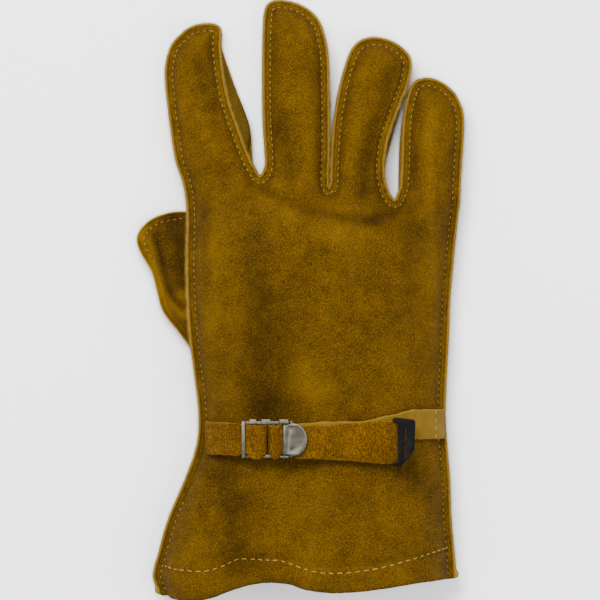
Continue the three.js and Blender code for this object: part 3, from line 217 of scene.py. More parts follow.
# Thumb: along, left and right edge, seam height, height of the palm panel over it
THUMB_LENGTH = 93.8
THUMB_BASE = 0.135
THUMB_TIP = -0.545
THUMB = (
    (0.0, -0.44, -0.28, 0.06, 0.14),
    (0.1, -0.455, -0.268, 0.07, 0.2),
    (0.2, -0.47, -0.266, 0.1, 0.28),
    (0.3, -0.497, -0.275, 0.14, 0.36),
    (0.4, -0.552, -0.305, 0.17, 0.41),
    (0.5, -0.61, -0.346, 0.17, 0.41),
    (0.6, -0.633, -0.365, 0.17, 0.41),
    (0.7, -0.654, -0.385, 0.17, 0.41),
    (0.8, -0.698, -0.396, 0.17, 0.4),
    (0.87, -0.711, -0.404, 0.17, 0.39),
    (0.93, -0.685, -0.42, 0.17, 0.37),
    (0.975, -0.635, -0.452, 0.17, 0.35),
)
THUMB_SHOULDER = 9
THUMB_TOP_START = 1
THUMB_HOLE = (-0.375, 0.36, 7.8, 15)
THUMB_DRAPE = 15
THUMB_OVERLAP = 5

# Strap, as in the part's source
STRAP_WIDTH = 15.6
STRAP_END_WIDTH = 20
ANCHOR_WIDTH = 15.2
STRAP_UNDER_WIDTH = 13.8
STRAP_Y = 0.0287
TAB_Y = 0.0859
STRAP_BEND = (0.13, 0.25)  # where the lower run starts to rise towards its sewn end, and over what width
STRAP_BULK = 0.4
UNDER_SHIFT = 1.5  # how far the lower run lies towards the fingers from the buckle's middle
STRAP_HANG = 1.2  # how far the upper runs lie towards the cuff from it
ANCHOR_SHIFT = 0.7
STRAP_INSET = 1
STUB_TAIL = 9
BUCKLE_X = -0.301
BUCKLE_LENGTH = 23.4
BUCKLE_PLATE = 1.2
BUCKLE_BAR = 1.4
BUCKLE_SLOT = 0.35
SLOT_SHARE = 0.496
LEVER_LENGTH = 10.6
LEVER_BARREL = 1.1
PIVOT_INSET = 3.1
EAR_WALL = 0.9
HOOK_X = 0.292
HOOK_LENGTH = 8.3
HOOK_JAW = 1
HOOK_POCKET = 2.4
HOOK_WING = 2.5
END_CUT = 2.4
TURN_OUT = 2.5
RAIL_TURN = 0.66
RAMP = 7


def mix(a, b, t):
    """A value a share t of the way from a to b."""
    return a + (b - a) * t


def clamp01(t):
    """A share kept between 0 and 1."""
    return np.clip(t, 0.0, 1.0)


def smooth(t):
    """A share that starts and ends gently."""
    t = clamp01(t)
    return t * t * (3 - 2 * t)


def dome(t):
    """A share that rises steeply and levels out, as a quarter circle does."""
    return np.sqrt(1 - (1 - clamp01(t)) ** 2)


def band(distance, place, width):
    """1 at a place, and away from it falling gently to 0 over about a width."""
    return np.exp(-(((distance - place) / width) ** 2))


def across(share):
    """A share of the palm's width in millimetres."""
    return share * PALM_WIDTH


def wrist_height(share):
    """A height above the wrist, a share of the hand, or of the cuff below the wrist."""
    return share * (CUFF_LENGTH if share < 0 else HAND_LENGTH)


def picture_place(px, py):
    """A place of the picture's frame in the tables' millimetres."""
    x = (px - PICTURE_MIDDLE) * PICTURE_STEP - TABLES_X
    y = (PICTURE_MIDDLE - py) * PICTURE_STEP - TABLES_Y
    return x, y


def spline(rows):
    """A smooth curve through rows of numbers, whose first two columns are x and y."""
    rows = np.array(rows, float)
    steps = np.hypot(*np.diff(rows[:, :2], axis=0).T)
    knots = np.concatenate([[0.0], np.cumsum(steps)])
    count = len(rows)
    before = np.maximum(np.arange(count) - 1, 0)
    after = np.minimum(np.arange(count) + 1, count - 1)
    slopes = (rows[after] - rows[before]) / (knots[after] - knots[before])[:, None]

    def at(shares):
        t = clamp01(np.asarray(shares, float)) * knots[-1]
        i = np.clip(np.searchsorted(knots, t) - 1, 0, count - 2)
        h = (knots[i + 1] - knots[i])[:, None]
        f = (t - knots[i])[:, None] / h
        ends = rows[i] * (2 * f**3 - 3 * f**2 + 1) + rows[i + 1] * (3 * f**2 - 2 * f**3)
        return ends + slopes[i] * h * (f**3 - 2 * f**2 + f) + slopes[i + 1] * h * (f**3 - f**2)

    return at, knots / knots[-1]


def lookup(table, key, column):
    """A table's column at a value of its first column, straight between rows."""
    rows = np.array(table, float)
    return np.interp(key, rows[:, 0], rows[:, column])


def nearest_on(line, x, y):
    """Distance from places of the plan to a line of rows, and the line's row there."""
    steps = np.diff(line, axis=0)
    squares = (steps[:, :2] ** 2).sum(1)
    squares[squares == 0] = 1
    distances = np.empty(len(x))
    rows = np.empty((len(x), line.shape[1]))
    chunk = 2000
    for first in range(0, len(x), chunk):
        part = slice(first, first + chunk)
        dx = x[part, None] - line[None, :-1, 0]
        dy = y[part, None] - line[None, :-1, 1]
        t = clamp01((dx * steps[:, 0] + dy * steps[:, 1]) / squares)
        gap = np.hypot(dx - t * steps[:, 0], dy - t * steps[:, 1])
        best = gap.argmin(1)
        own = np.arange(len(best))
        distances[part] = gap[own, best]
        rows[part] = line[best] + t[own, best][:, None] * steps[best]
    return distances, rows


def panel_outline(is_palm, outset):
    """The sewn edge of a panel, from the mouth's left corner round the fingers to its right corner."""
    rows = []
    marks = {}

    def side(row, column, seam_column):
        near_fingers = smooth((row[0] - FINGERS_FELT) / (1 - FINGERS_FELT))
        rows.append([
            across(row[column]),
            wrist_height(row[0]),
            row[seam_column] * BODY_HEIGHT,
            row[5] * BODY_HEIGHT,
            mix(HAND_REACH, FINGER_REACH, near_fingers),
        ])

    def corner(x, y, seam):
        rows.append([across(x), y * HAND_LENGTH, seam, FINGER_SWELL, FINGER_REACH])

    for row in SIDES:
        side(row, 1, 3)
    last_finger = len(FINGERS) - 1
    inner_seam = CROTCH_SEAM - (SIDE_WALL if is_palm else 0)
    for f, (name, length, base, tip, shoulders, table) in enumerate(FINGERS):

        def push(row, is_left):
            values = table[row]
            outer = f == (0 if is_left else last_finger)
            shift = across(values[3 if is_left else 4]) if is_palm else 0
            shift = math.copysign(max(abs(shift) - PALM_TUCK, 0), shift)
            shift *= 1 - TUCK_LOST * smooth((values[0] - TUCK_FADE[0]) / TUCK_FADE[1])
            root = OUTER_SEAM if outer else CROTCH_SEAM
            wall = 0 if outer or not is_palm else SIDE_WALL * WALL_SHARES[row]
            seam = mix(root, TIP_SEAM, smooth(values[0])) - wall
            x = across(values[1 if is_left else 2]) + shift
            swell = mix(FINGER_SWELL, TIP_SWELL, smooth(values[0]))
            rows.append([x, base * HAND_LENGTH + values[0] * length, seam, swell, FINGER_REACH])

        if f == 0:
            corner(KNUCKLE_LEFT[1], KNUCKLE_LEFT[0], OUTER_SEAM)
        else:
            corner(CROTCHES[f - 1][2], CROTCHES[f - 1][3], inner_seam)
        marks[name + "Left"] = len(rows) - 1
        for row in range(len(table)):
            push(row, True)
            if row == shoulders[0]:
                marks[name + "ShoulderLeft"] = len(rows) - 1
        rows.append([across(tip), base * HAND_LENGTH + length, TIP_SEAM, TIP_SWELL, FINGER_REACH])
        for row in reversed(range(len(table))):
            push(row, False)
            if row == shoulders[1]:
                marks[name + "ShoulderRight"] = len(rows) - 1
        if f == last_finger:
            corner(KNUCKLE_RIGHT[1], KNUCKLE_RIGHT[0], OUTER_SEAM)
        else:
            corner(CROTCHES[f][0], CROTCHES[f][3], inner_seam)
        marks[name + "Right"] = len(rows) - 1
        if f < last_finger:
            corner(CROTCHES[f][1], CROTCHES[f][4], inner_seam)
    for row in reversed(SIDES):
        if MOUTH_CORNERS[1] < row[0] < KNUCKLE_RIGHT[0]:
            side(row, 2, 4)
    side((MOUTH_CORNERS[1],) + SIDES[0][1:], 2, 4)
    marks["start"] = 0
    marks["end"] = len(rows) - 1
    at, knots = spline(rows)
    step = 0.0004

    def place(shares):
        found = at(shares)
        ahead = at(np.asarray(shares) + step)
        behind = at(np.asarray(shares) - step)
        dx, dy = (ahead - behind)[:, :2].T
        length = np.hypot(dx, dy)
        found[:, 0] -= dy / length * outset
        found[:, 1] += dx / length * outset
        found[:, 2] = np.maximum(found[:, 2], LEATHER + SEAM_GAP / 2)
        return found

    def between(first, last, shares):
        return place(mix(knots[marks[first]], knots[marks[last]], np.asarray(shares, float)))

    return between, place(np.linspace(0, 1, OUTLINE_POINTS))


def patch(bottom, top, left, right, us, vs):
    """A grid of rows between four edges. bottom and top run left to right, left and right run upwards."""
    u = us[None, :, None]
    v = vs[:, None, None]
    ruled = bottom[None] * (1 - v) + top[None] * v
    crossed = left[:, None] * (1 - u) + right[:, None] * u
    low = bottom[0] * (1 - u) + bottom[-1] * u
    high = top[0] * (1 - u) + top[-1] * u
    return ruled + crossed - (low * (1 - v) + high * v)


def relaxed(grid, margin, rounds):
    """Evens out a grid, all but its edges and the columns that follow the side seams."""
    for _ in range(rounds):
        around = grid[:-2, 1:-1] + grid[2:, 1:-1] + grid[1:-1, :-2] + grid[1:-1, 2:]
        keep = slice(margin - 1, 1 - margin)
        grid[1:-1, margin:-margin] = around[:, keep] / 4
    return grid


def fold_height(x, y):
    """Height of the main folds at places of the plan."""
    height = np.zeros(len(x))
    for x0, y0, x1, y1, half, share in BACK_FOLDS:
        line = np.array([[across(x0), y0 * HAND_LENGTH], [across(x1), y1 * HAND_LENGTH]])
        distance, _ = nearest_on(line, x, y)
        height += share * BODY_HEIGHT * np.exp(-((distance / across(half)) ** 2))
    return height


def soft_folds(table, x, y):
    """Height of the softer folds at places of the plan, and their painted light and shade."""
    height = np.zeros(len(x))
    tone = np.zeros(len(x))
    for path, half, rise, lighter in table:
        line = np.array([picture_place(*p) for p in path])
        distance, _ = nearest_on(line, x, y)
        weight = np.exp(-((distance / (half * PICTURE_STEP)) ** 2))
        height += rise * weight
        tone += lighter * weight
    return height, tone


def waves(x, y, sizes, seed):
    """Uneven ground: a sum of noises, each given as its size and its height in millimetres."""
    total = np.zeros(len(x))
    for k, (size, height) in enumerate(sizes):
        total += height * np.array([
            noise.noise(Vector((a / size + seed, b / size - seed, seed + 7.3 * k))) for a, b in zip(x, y)
        ])
    return total


thumb_base_y = THUMB_BASE * HAND_LENGTH
thumb_plan = np.array(
    [(across(r[1]), thumb_base_y + r[0] * THUMB_LENGTH) for r in THUMB]
    + [(across(THUMB_TIP), thumb_base_y + THUMB_LENGTH)]
    + [(across(r[2]), thumb_base_y + r[0] * THUMB_LENGTH) for r in reversed(THUMB)]
    + [(across(THUMB[0][1]), thumb_base_y)]
)


def inside_thumb(x, y):
    """How far places lie inside the thumb's plan, negative outside."""
    inside = np.zeros(len(x), bool)
    for (ax, ay), (bx, by) in zip(thumb_plan[:-1], thumb_plan[1:]):
        if ay == by:
            continue
        crosses = ((ay > y) != (by > y)) & (x < ax + (y - ay) * (bx - ax) / (by - ay))
        inside ^= crosses
    distance, _ = nearest_on(thumb_plan, x, y)
    return np.where(inside, distance, -distance)


def thumb_value(y, column):
    """A column of the thumb's table at a height of the plan."""
    return lookup(THUMB, clamp01((y - thumb_base_y) / THUMB_LENGTH), column)


def over_thumb(x, y):
    """How high the palm is lifted by the thumb that lies under it."""
    rise = smooth((inside_thumb(x, y) + THUMB_DRAPE) / (THUMB_DRAPE + THUMB_OVERLAP))
    return thumb_value(y, 4) * BODY_HEIGHT * rise


# Spacing of the mesh's lines from a seam inwards, closest at the raw edge and at the stitches
EDGE_LINES = (0, 0.35, 1.0, 1.8, 2.6, 3.1, 3.5, 4.0, 4.7, 5.6, 6.8, 8.3, 10.0)
EVEN_STEP = 1.25
MOUTH_EVENNESS = 0.6  # how far the lines spread evenly at the mouth rather than as at the fingers


def spaced(length, start_lines=EDGE_LINES, end_lines=EDGE_LINES, step=EVEN_STEP):
    """Shares of a length with close lines at its ends and even ones between."""
    start = [d for d in start_lines if d < length * 0.42] or [0]
    end = [length - d for d in end_lines if d < length * 0.42][::-1] or [length]
    inner = max(int(round((end[0] - start[-1]) / step)), 1)
    middle = list(np.linspace(start[-1], end[0], inner + 1))[1:-1]
    return np.array(start + middle + end) / length


def mouth_line(left, right, shares):
    """The mouth's edge between its corners, as rows of the outline's columns."""
    at, _ = spline([(t, 0, drop, swell) for t, drop, swell in MOUTH])
    hang = at(shares)
    base = mix(left[None], right[None], shares[:, None])
    base[:, 1] -= hang[:, 2] * CUFF_LENGTH
    base[:, 3] = hang[:, 3] * BODY_HEIGHT
    return base


def panel_grids(is_palm, outset, coarse=1.0):
    """A hand panel's plan as five grids, one for the hand and cuff and one for each finger."""
    between, edge = panel_outline(is_palm, outset)
    grids = []
    tops = []
    for f, (name, length, *_) in enumerate(FINGERS):
        corners = between(name + "Left", name + "Right", [0, 1])
        width = corners[1, 0] - corners[0, 0]
        columns = spaced(width, step=EVEN_STEP * coarse)
        rows = spaced(length, start_lines=(0,), step=EVEN_STEP * coarse)
        left = between(name + "Left", name + "ShoulderLeft", rows)
        right = between(name + "Right", name + "ShoulderRight", rows)
        bottom = mix(left[:1], right[:1], columns[:, None])
        tip = between(name + "ShoulderLeft", name + "ShoulderRight", columns)
        grids.append(patch(bottom, tip, left, right, columns, rows))
        tops.append(bottom)
        if f < len(FINGERS) - 1:
            crotch = between(name + "Right", FINGERS[f + 1][0] + "Left", np.linspace(0, 1, 13))
            tops.append(crotch[1:-1])
    top = np.concatenate(tops)
    tall = HAND_LENGTH + CUFF_LENGTH
    rows = spaced(tall, start_lines=(0, 0.5, 1.5, 3), end_lines=(0,), step=EVEN_STEP * coarse)
    left = between("start", "indexLeft", rows)
    right = between("end", "littleRight", rows)
    span = top[-1, 0] - top[0, 0]
    columns = (top[:, 0] - top[0, 0]) / span
    columns = np.maximum.accumulate(columns)
    mouth_width = right[0, 0] - left[0, 0]
    kept = EDGE_LINES[-1]
    from_left = columns * span
    from_right = span - from_left
    inner = (from_left - kept) / (span - 2 * kept)
    low = np.searchsorted(from_left, kept)
    high = len(columns) - 1 - np.searchsorted(from_right[::-1], kept)
    even = clamp01((np.arange(len(columns)) - low) / (high - low))
    inner = kept + mix(inner, even, MOUTH_EVENNESS) * (mouth_width - 2 * kept)
    placed = np.where(from_right <= kept, mouth_width - from_right, inner)
    placed = np.where(from_left <= kept, from_left, placed)
    bottom = mouth_line(left[0], right[0], placed / mouth_width)
    hand = patch(bottom, top, left, right, columns, rows)
    margin = len([d for d in EDGE_LINES if d < RELAX_MARGIN])
    grids.append(relaxed(hand, margin, RELAX_ROUNDS))
    return grids, edge, bottom


HEM_STEP = (0.6, 1.6)  # how far past its stitches the turned edge ends, and over what width it thins
STRAP_SPACE = 1  # beside the strap, the leather stays calm for this far
CALM_FADE = 7  # and its folds come back over this width


def hem_share(bottom, x, y):
    """Height above the cuff's mouth, and 1 in its turned edge, 0 past it."""
    above = y - np.interp(x, bottom[:, 0], bottom[:, 1])
    return above, smooth((HEM_DEPTH + HEM_STEP[0] - above) / HEM_STEP[1])


strap_y = STRAP_Y * HAND_LENGTH
tab_y = TAB_Y * HAND_LENGTH


def strap_middle(x):
    """Middle line of the wrist strap's lower run, which rises from the buckle's height to its sewn end's."""
    return mix(strap_y, tab_y, smooth((x - across(STRAP_BEND[0])) / across(STRAP_BEND[1])))


def strap_mask(x, y):
    """0 under the wrist strap, 1 away from it."""
    return smooth((np.abs(y - strap_middle(x)) - STRAP_END_WIDTH / 2 - STRAP_SPACE) / CALM_FADE)


# Uneven leather: sizes and heights of the noises that make it up
BACK_RIPPLES = ((34, 0.9), (15, 0.55), (7, 0.22), (3.2, 0.07))
SEAM_PUCKERS = ((5.5, 0.5),)
HEM_PUCKERS = ((8, 0.5),)
PALM_RIPPLES = ((14, 0.35), (6, 0.15))
THUMB_RIPPLES = ((13, 0.6), (6, 0.25))

# How deep the stitches draw the leather in along the seams, the hem and the thumb, and how wide
SEAM_DENT = 0.45
SEAM_DENT_WIDTH = 0.75
HEM_DENT = 0.55
HEM_DENT_WIDTH = 0.9
THUMB_DENT = 0.4
THUMB_DENT_WIDTH = 0.8
PUCKER_PLACE = 2.5  # behind the stitches
PUCKER_WIDTH = 3
INLAND = 3  # width behind the stitches over which folds and ripples start

# How much the turned hem thickens a panel, the soft folds' painted light and shade, and painted shade by seam
# and hem
HEM_THICKER = 0.8
HEM_WALL_THICKER = 0.9
FOLD_LIGHT_AND_SHADE = 0.62
SEAM_SHADE = 0.05
SEAM_SHADE_PLACE = 4.6
SEAM_SHADE_WIDTH = 1.6
HEM_SHADE = 0.1


def back_surface(rows, edge, bottom):
    """Height, painted light and shade, and distance from the seam of the back panel's outer face."""
    x, y, seam, swell, reach = rows.T
    distance, near = nearest_on(edge, x, y)
    d = distance - SEAM_ALLOWANCE
    settled = smooth(d / reach)
    above, hem = hem_share(bottom, x, y)
    base = mix(near[:, 2], seam, settled) + SEAM_GAP / 2 + LEATHER * (1 + HEM_THICKER * hem)
    z = base + dome(d / reach) * swell + settled * fold_height(x, y)
    free = strap_mask(x, y)
    height, tone = soft_folds(SOFT_FOLDS, x, y)
    inland = smooth(d / INLAND)
    z += inland * free * height
    z += inland * free * waves(x, y, BACK_RIPPLES, 3.1)
    pucker = band(d, PUCKER_PLACE, PUCKER_WIDTH)
    z += free * pucker * waves(x, y, SEAM_PUCKERS, 9.7)
    flange = band(distance, SEAM_ALLOWANCE, SEAM_DENT_WIDTH)
    hem_line = band(above, HEM_DEPTH, HEM_DENT_WIDTH) * inland
    z -= SEAM_DENT * flange + HEM_DENT * hem_line
    z += hem * inland * waves(x, y, HEM_PUCKERS, 5.5)
    # Painted light and shade of the soft folds, painted shade in the hem's groove, and a strip of painted
    # shade inside the seams
    tone = FOLD_LIGHT_AND_SHADE * tone * inland - HEM_SHADE * hem_line
    tone -= SEAM_SHADE * band(distance, SEAM_SHADE_PLACE, SEAM_SHADE_WIDTH)
    return z, tone, distance


def palm_surface(rows, edge, bottom):
    """The same for the palm panel's outer face, which is flat where it rests."""
    x, y, seam, _, reach = rows.T
    distance, near = nearest_on(edge, x, y)
    share = (distance - SEAM_ALLOWANCE) / np.minimum(reach, PALM_REACH)
    _, hem = hem_share(bottom, x, y)
    flange = mix(near[:, 2], seam, smooth(share)) - SEAM_GAP / 2 - LEATHER * (1 + HEM_THICKER * hem)
    flange = np.maximum(flange, 0)
    z = np.maximum(flange * (1 - dome(share)), np.minimum(over_thumb(x, y), flange))
    z += waves(x, y, PALM_RIPPLES, 21.0) * smooth(z / 3)
    return np.maximum(z, 0), np.zeros(len(x)), distance


def weld(grids):
    """Joins grids, each of points and their values, into one sheet of points, faces and values."""
    places = {}
    points = []
    kept = []
    faces = []
    for grid, rows in grids:
        number = np.empty(grid.shape[:2], int)
        for j in range(grid.shape[0]):
            for i in range(grid.shape[1]):
                key = tuple(np.round(grid[j, i, :2] * 500).astype(int))
                if key not in places:
                    places[key] = len(points)
                    points.append(grid[j, i])
                    kept.append(rows[j, i])
                number[j, i] = places[key]
        for j in range(1, grid.shape[0]):
            for i in range(1, grid.shape[1]):
                face = [number[j - 1, i - 1], number[j - 1, i], number[j, i], number[j, i - 1]]
                face = list(dict.fromkeys(face))
                if len(face) > 2:
                    faces.append(face)
    return np.array(points), faces, np.array(kept)


def raised(grid, z, tone, distance):
    """A grid's points at their heights, and their tone and distance from the seam."""
    shape = grid.shape[:2]
    points = np.dstack([grid[..., 0], grid[..., 1], z.reshape(shape)])
    return points, np.stack([tone, distance], 1).reshape(*shape, 2)


def quads(rows, columns, closed=False):
    """Faces between neighbouring rows of points. A closed row runs back to its start."""
    faces = []
    for j in range(rows - 1):
        for i in range(columns if closed else columns - 1):
            a, b = j * columns + i, j * columns + (i + 1) % columns
            faces.append([a, b, b + columns, a + columns])
    return faces


def point_normals(points, faces):
    """Unit normals of a sheet's points."""
    normals = np.zeros_like(points)
    for size in (3, 4):
        same = np.array([f for f in faces if len(f) == size])
        if not len(same):
            continue
        a, b, c, d = points[same[:, 0]], points[same[:, 1]], points[same[:, 2]], points[same[:, -1]]
        normal = np.cross(c - a, d - b) if size == 4 else np.cross(b - a, c - a)
        for k in range(size):
            np.add.at(normals, same[:, k], normal)
    return normals / np.maximum(np.linalg.norm(normals, axis=1), 1e-9)[:, None]


def in_scene(name, data):
    """A new object of the scene."""
    made = bpy.data.objects.new(name, data)
    bpy.context.scene.collection.objects.link(made)
    return made


def as_object(name, points, faces, attributes, materials, indices=None):
    """A mesh object from points in the tables' millimetres."""
    mesh = bpy.data.meshes.new(name)
    placed = (np.asarray(points) + (TABLES_X, TABLES_Y, 0)) * MM
    placed[:, 2] = np.maximum(placed[:, 2], 0)
    mesh.from_pydata(placed.tolist(), [], [list(map(int, f)) for f in faces])
    for key, values in attributes.items():
        attribute = mesh.attributes.new(key, "FLOAT", "POINT")
        attribute.data.foreach_set("value", np.asarray(values, np.float32))
    for material in materials:
        mesh.materials.append(material)
    if indices is not None:
        mesh.polygons.foreach_set("material_index", np.asarray(indices, np.int32))
    mesh.polygons.foreach_set("use_smooth", [True] * len(mesh.polygons))
    mesh.update()
    return in_scene(name, mesh)


def thumb_hole(x, y):
    """Below 1 inside the hole through which the thumb leaves the palm, and 1 on its rim."""
    x0, y0 = across(THUMB_HOLE[0]), THUMB_HOLE[1] * HAND_LENGTH
    return ((x - x0) / THUMB_HOLE[2]) ** 2 + ((y - y0) / THUMB_HOLE[3]) ** 2


RIM_RINGS = (0.22, 0.5, 0.78)  # places through the wall of the mesh lines that round a raw edge
RIM_ROUNDING = 0.12  # how far a raw edge stands out, in walls
RIM_RAGGED = 0.14
MOUTH_ROUNDING = 0.4


def shell(name, sheet, wall, material, flipped=False, holed=False, rounding=None):
    """Gives a sheet its wall and closes its rim with a soft raw edge. The outer face looks up, or down if
    flipped. wall holds the thickness at each point, and rounding how round the rim is there."""
    points, faces, values = sheet
    if holed:
        middle = np.array([points[f].mean(0) for f in faces])
        outside = thumb_hole(middle[:, 0], middle[:, 1]) > 1
        faces = [f for f, kept in zip(faces, outside) if kept]
    if flipped:
        faces = [f[::-1] for f in faces]
    normals = point_normals(points, faces)
    count = len(points)
    inner = points - normals * wall[:, None]
    ahead = {}
    known = set()
    for f in faces:
        for k, a in enumerate(f):
            known.add((a, f[(k + 1) % len(f)]))
    for a, b in known:
        if (b, a) not in known:
            ahead[a] = b
    behind = {b: a for a, b in ahead.items()}
    rim = list(ahead)
    order = {a: k for k, a in enumerate(rim)}
    out = np.array([
        np.cross(points[ahead[a]] - points[behind.get(a, a)], normals[a]) for a in rim
    ])
    out /= np.maximum(np.linalg.norm(out, axis=1), 1e-9)[:, None]
    if holed:
        out[thumb_hole(points[rim, 0], points[rim, 1]) < HOLE_RIM] *= HOLE_ROUNDING
    rings = []
    for share in RIM_RINGS:
        bulge = math.sin(math.pi * share)
        level = np.array([mix(points[a], inner[a], share) for a in rim])
        rough = np.array([noise.noise(Vector(p) * 0.9 + Vector((share * 9, 0, 4))) for p in level])
        size = wall[rim] * (RIM_ROUNDING if rounding is None else rounding[rim])
        rings.append(level + out * (bulge * size + RIM_RAGGED * rough)[:, None])
    everything = np.concatenate([points, inner] + rings)
    closed = [list(f) for f in faces] + [[a + count for a in f[::-1]] for f in faces]
    levels = [lambda a: a]
    for k in range(len(RIM_RINGS)):
        levels.append(lambda a, k=k: 2 * count + k * len(rim) + order[a])
    levels.append(lambda a: a + count)
    for a, b in ahead.items():
        for upper, lower in zip(levels[:-1], levels[1:]):
            closed.append([upper(b), upper(a), lower(a), lower(b)])
    tone, distance = values.T
    attributes = {
        "tone": np.concatenate([tone, tone * 0] + [tone[rim]] * len(RIM_RINGS)),
        "seam": np.concatenate([distance, distance] + [distance[rim] - 0.5] * len(RIM_RINGS)),
    }
    used = np.unique(np.concatenate([np.array(f) for f in closed]))
    renumber = np.full(len(everything), -1)
    renumber[used] = np.arange(len(used))
    closed = [[int(renumber[a]) for a in f] for f in closed]
    attributes = {key: value[used] for key, value in attributes.items()}
    return as_object(name, everything[used], closed, attributes, [material])


def finished(piece, body, slot, *nodes):
    """Says which body a piece moves with and the solids that it stands for; slot, its finish, is not used."""
    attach(piece, body)
    if nodes:
        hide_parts(*nodes)


# Finishes

def colour(text):
    """An sRGB hex colour as linear red, green, blue and alpha."""
    values = [int(text[k:k + 2], 16) / 255 for k in (1, 3, 5)]
    return [c / 12.92 if c <= 0.04045 else ((c + 0.055) / 1.055) ** 2.4 for c in values] + [1.0]


def add_node(tree, kind, settings=None, values=None, links=None):
    """Adds one node: its own settings, its sockets' constants, and the outputs that its sockets take."""
    made = tree.nodes.new(kind)
    for key, value in (settings or {}).items():
        setattr(made, key, value)
    for key, value in (values or {}).items():
        made.inputs[key].default_value = value
    for key, source in (links or {}).items():
        tree.links.new(source, made.inputs[key])
    return made


def new_material(name):
    """An empty node material and its tree."""
    material = bpy.data.materials.new(name)
    material.use_nodes = True
    material.node_tree.nodes.clear()
    return material, material.node_tree


# Uneven dye of the hide in broad patches and in smaller blotches: size in millimetres, detail, roughness
PATCHES = (26, 3.0, 0.55)
BLOTCHES = (6.5, 3.0, 0.6)

# How light a sewn edge is from its rim inwards, over five millimetres: two layers with a line of painted
# shade between them, then the stitches' groove, darkened by painted shade
EDGE_BANDS = (
    (0.0, 0.9), (0.1, 0.75), (0.22, 0.15), (0.32, 0.66), (0.5, 0.72), (0.64, 0.42), (0.82, 0.5), (1.0, 0.5),
)


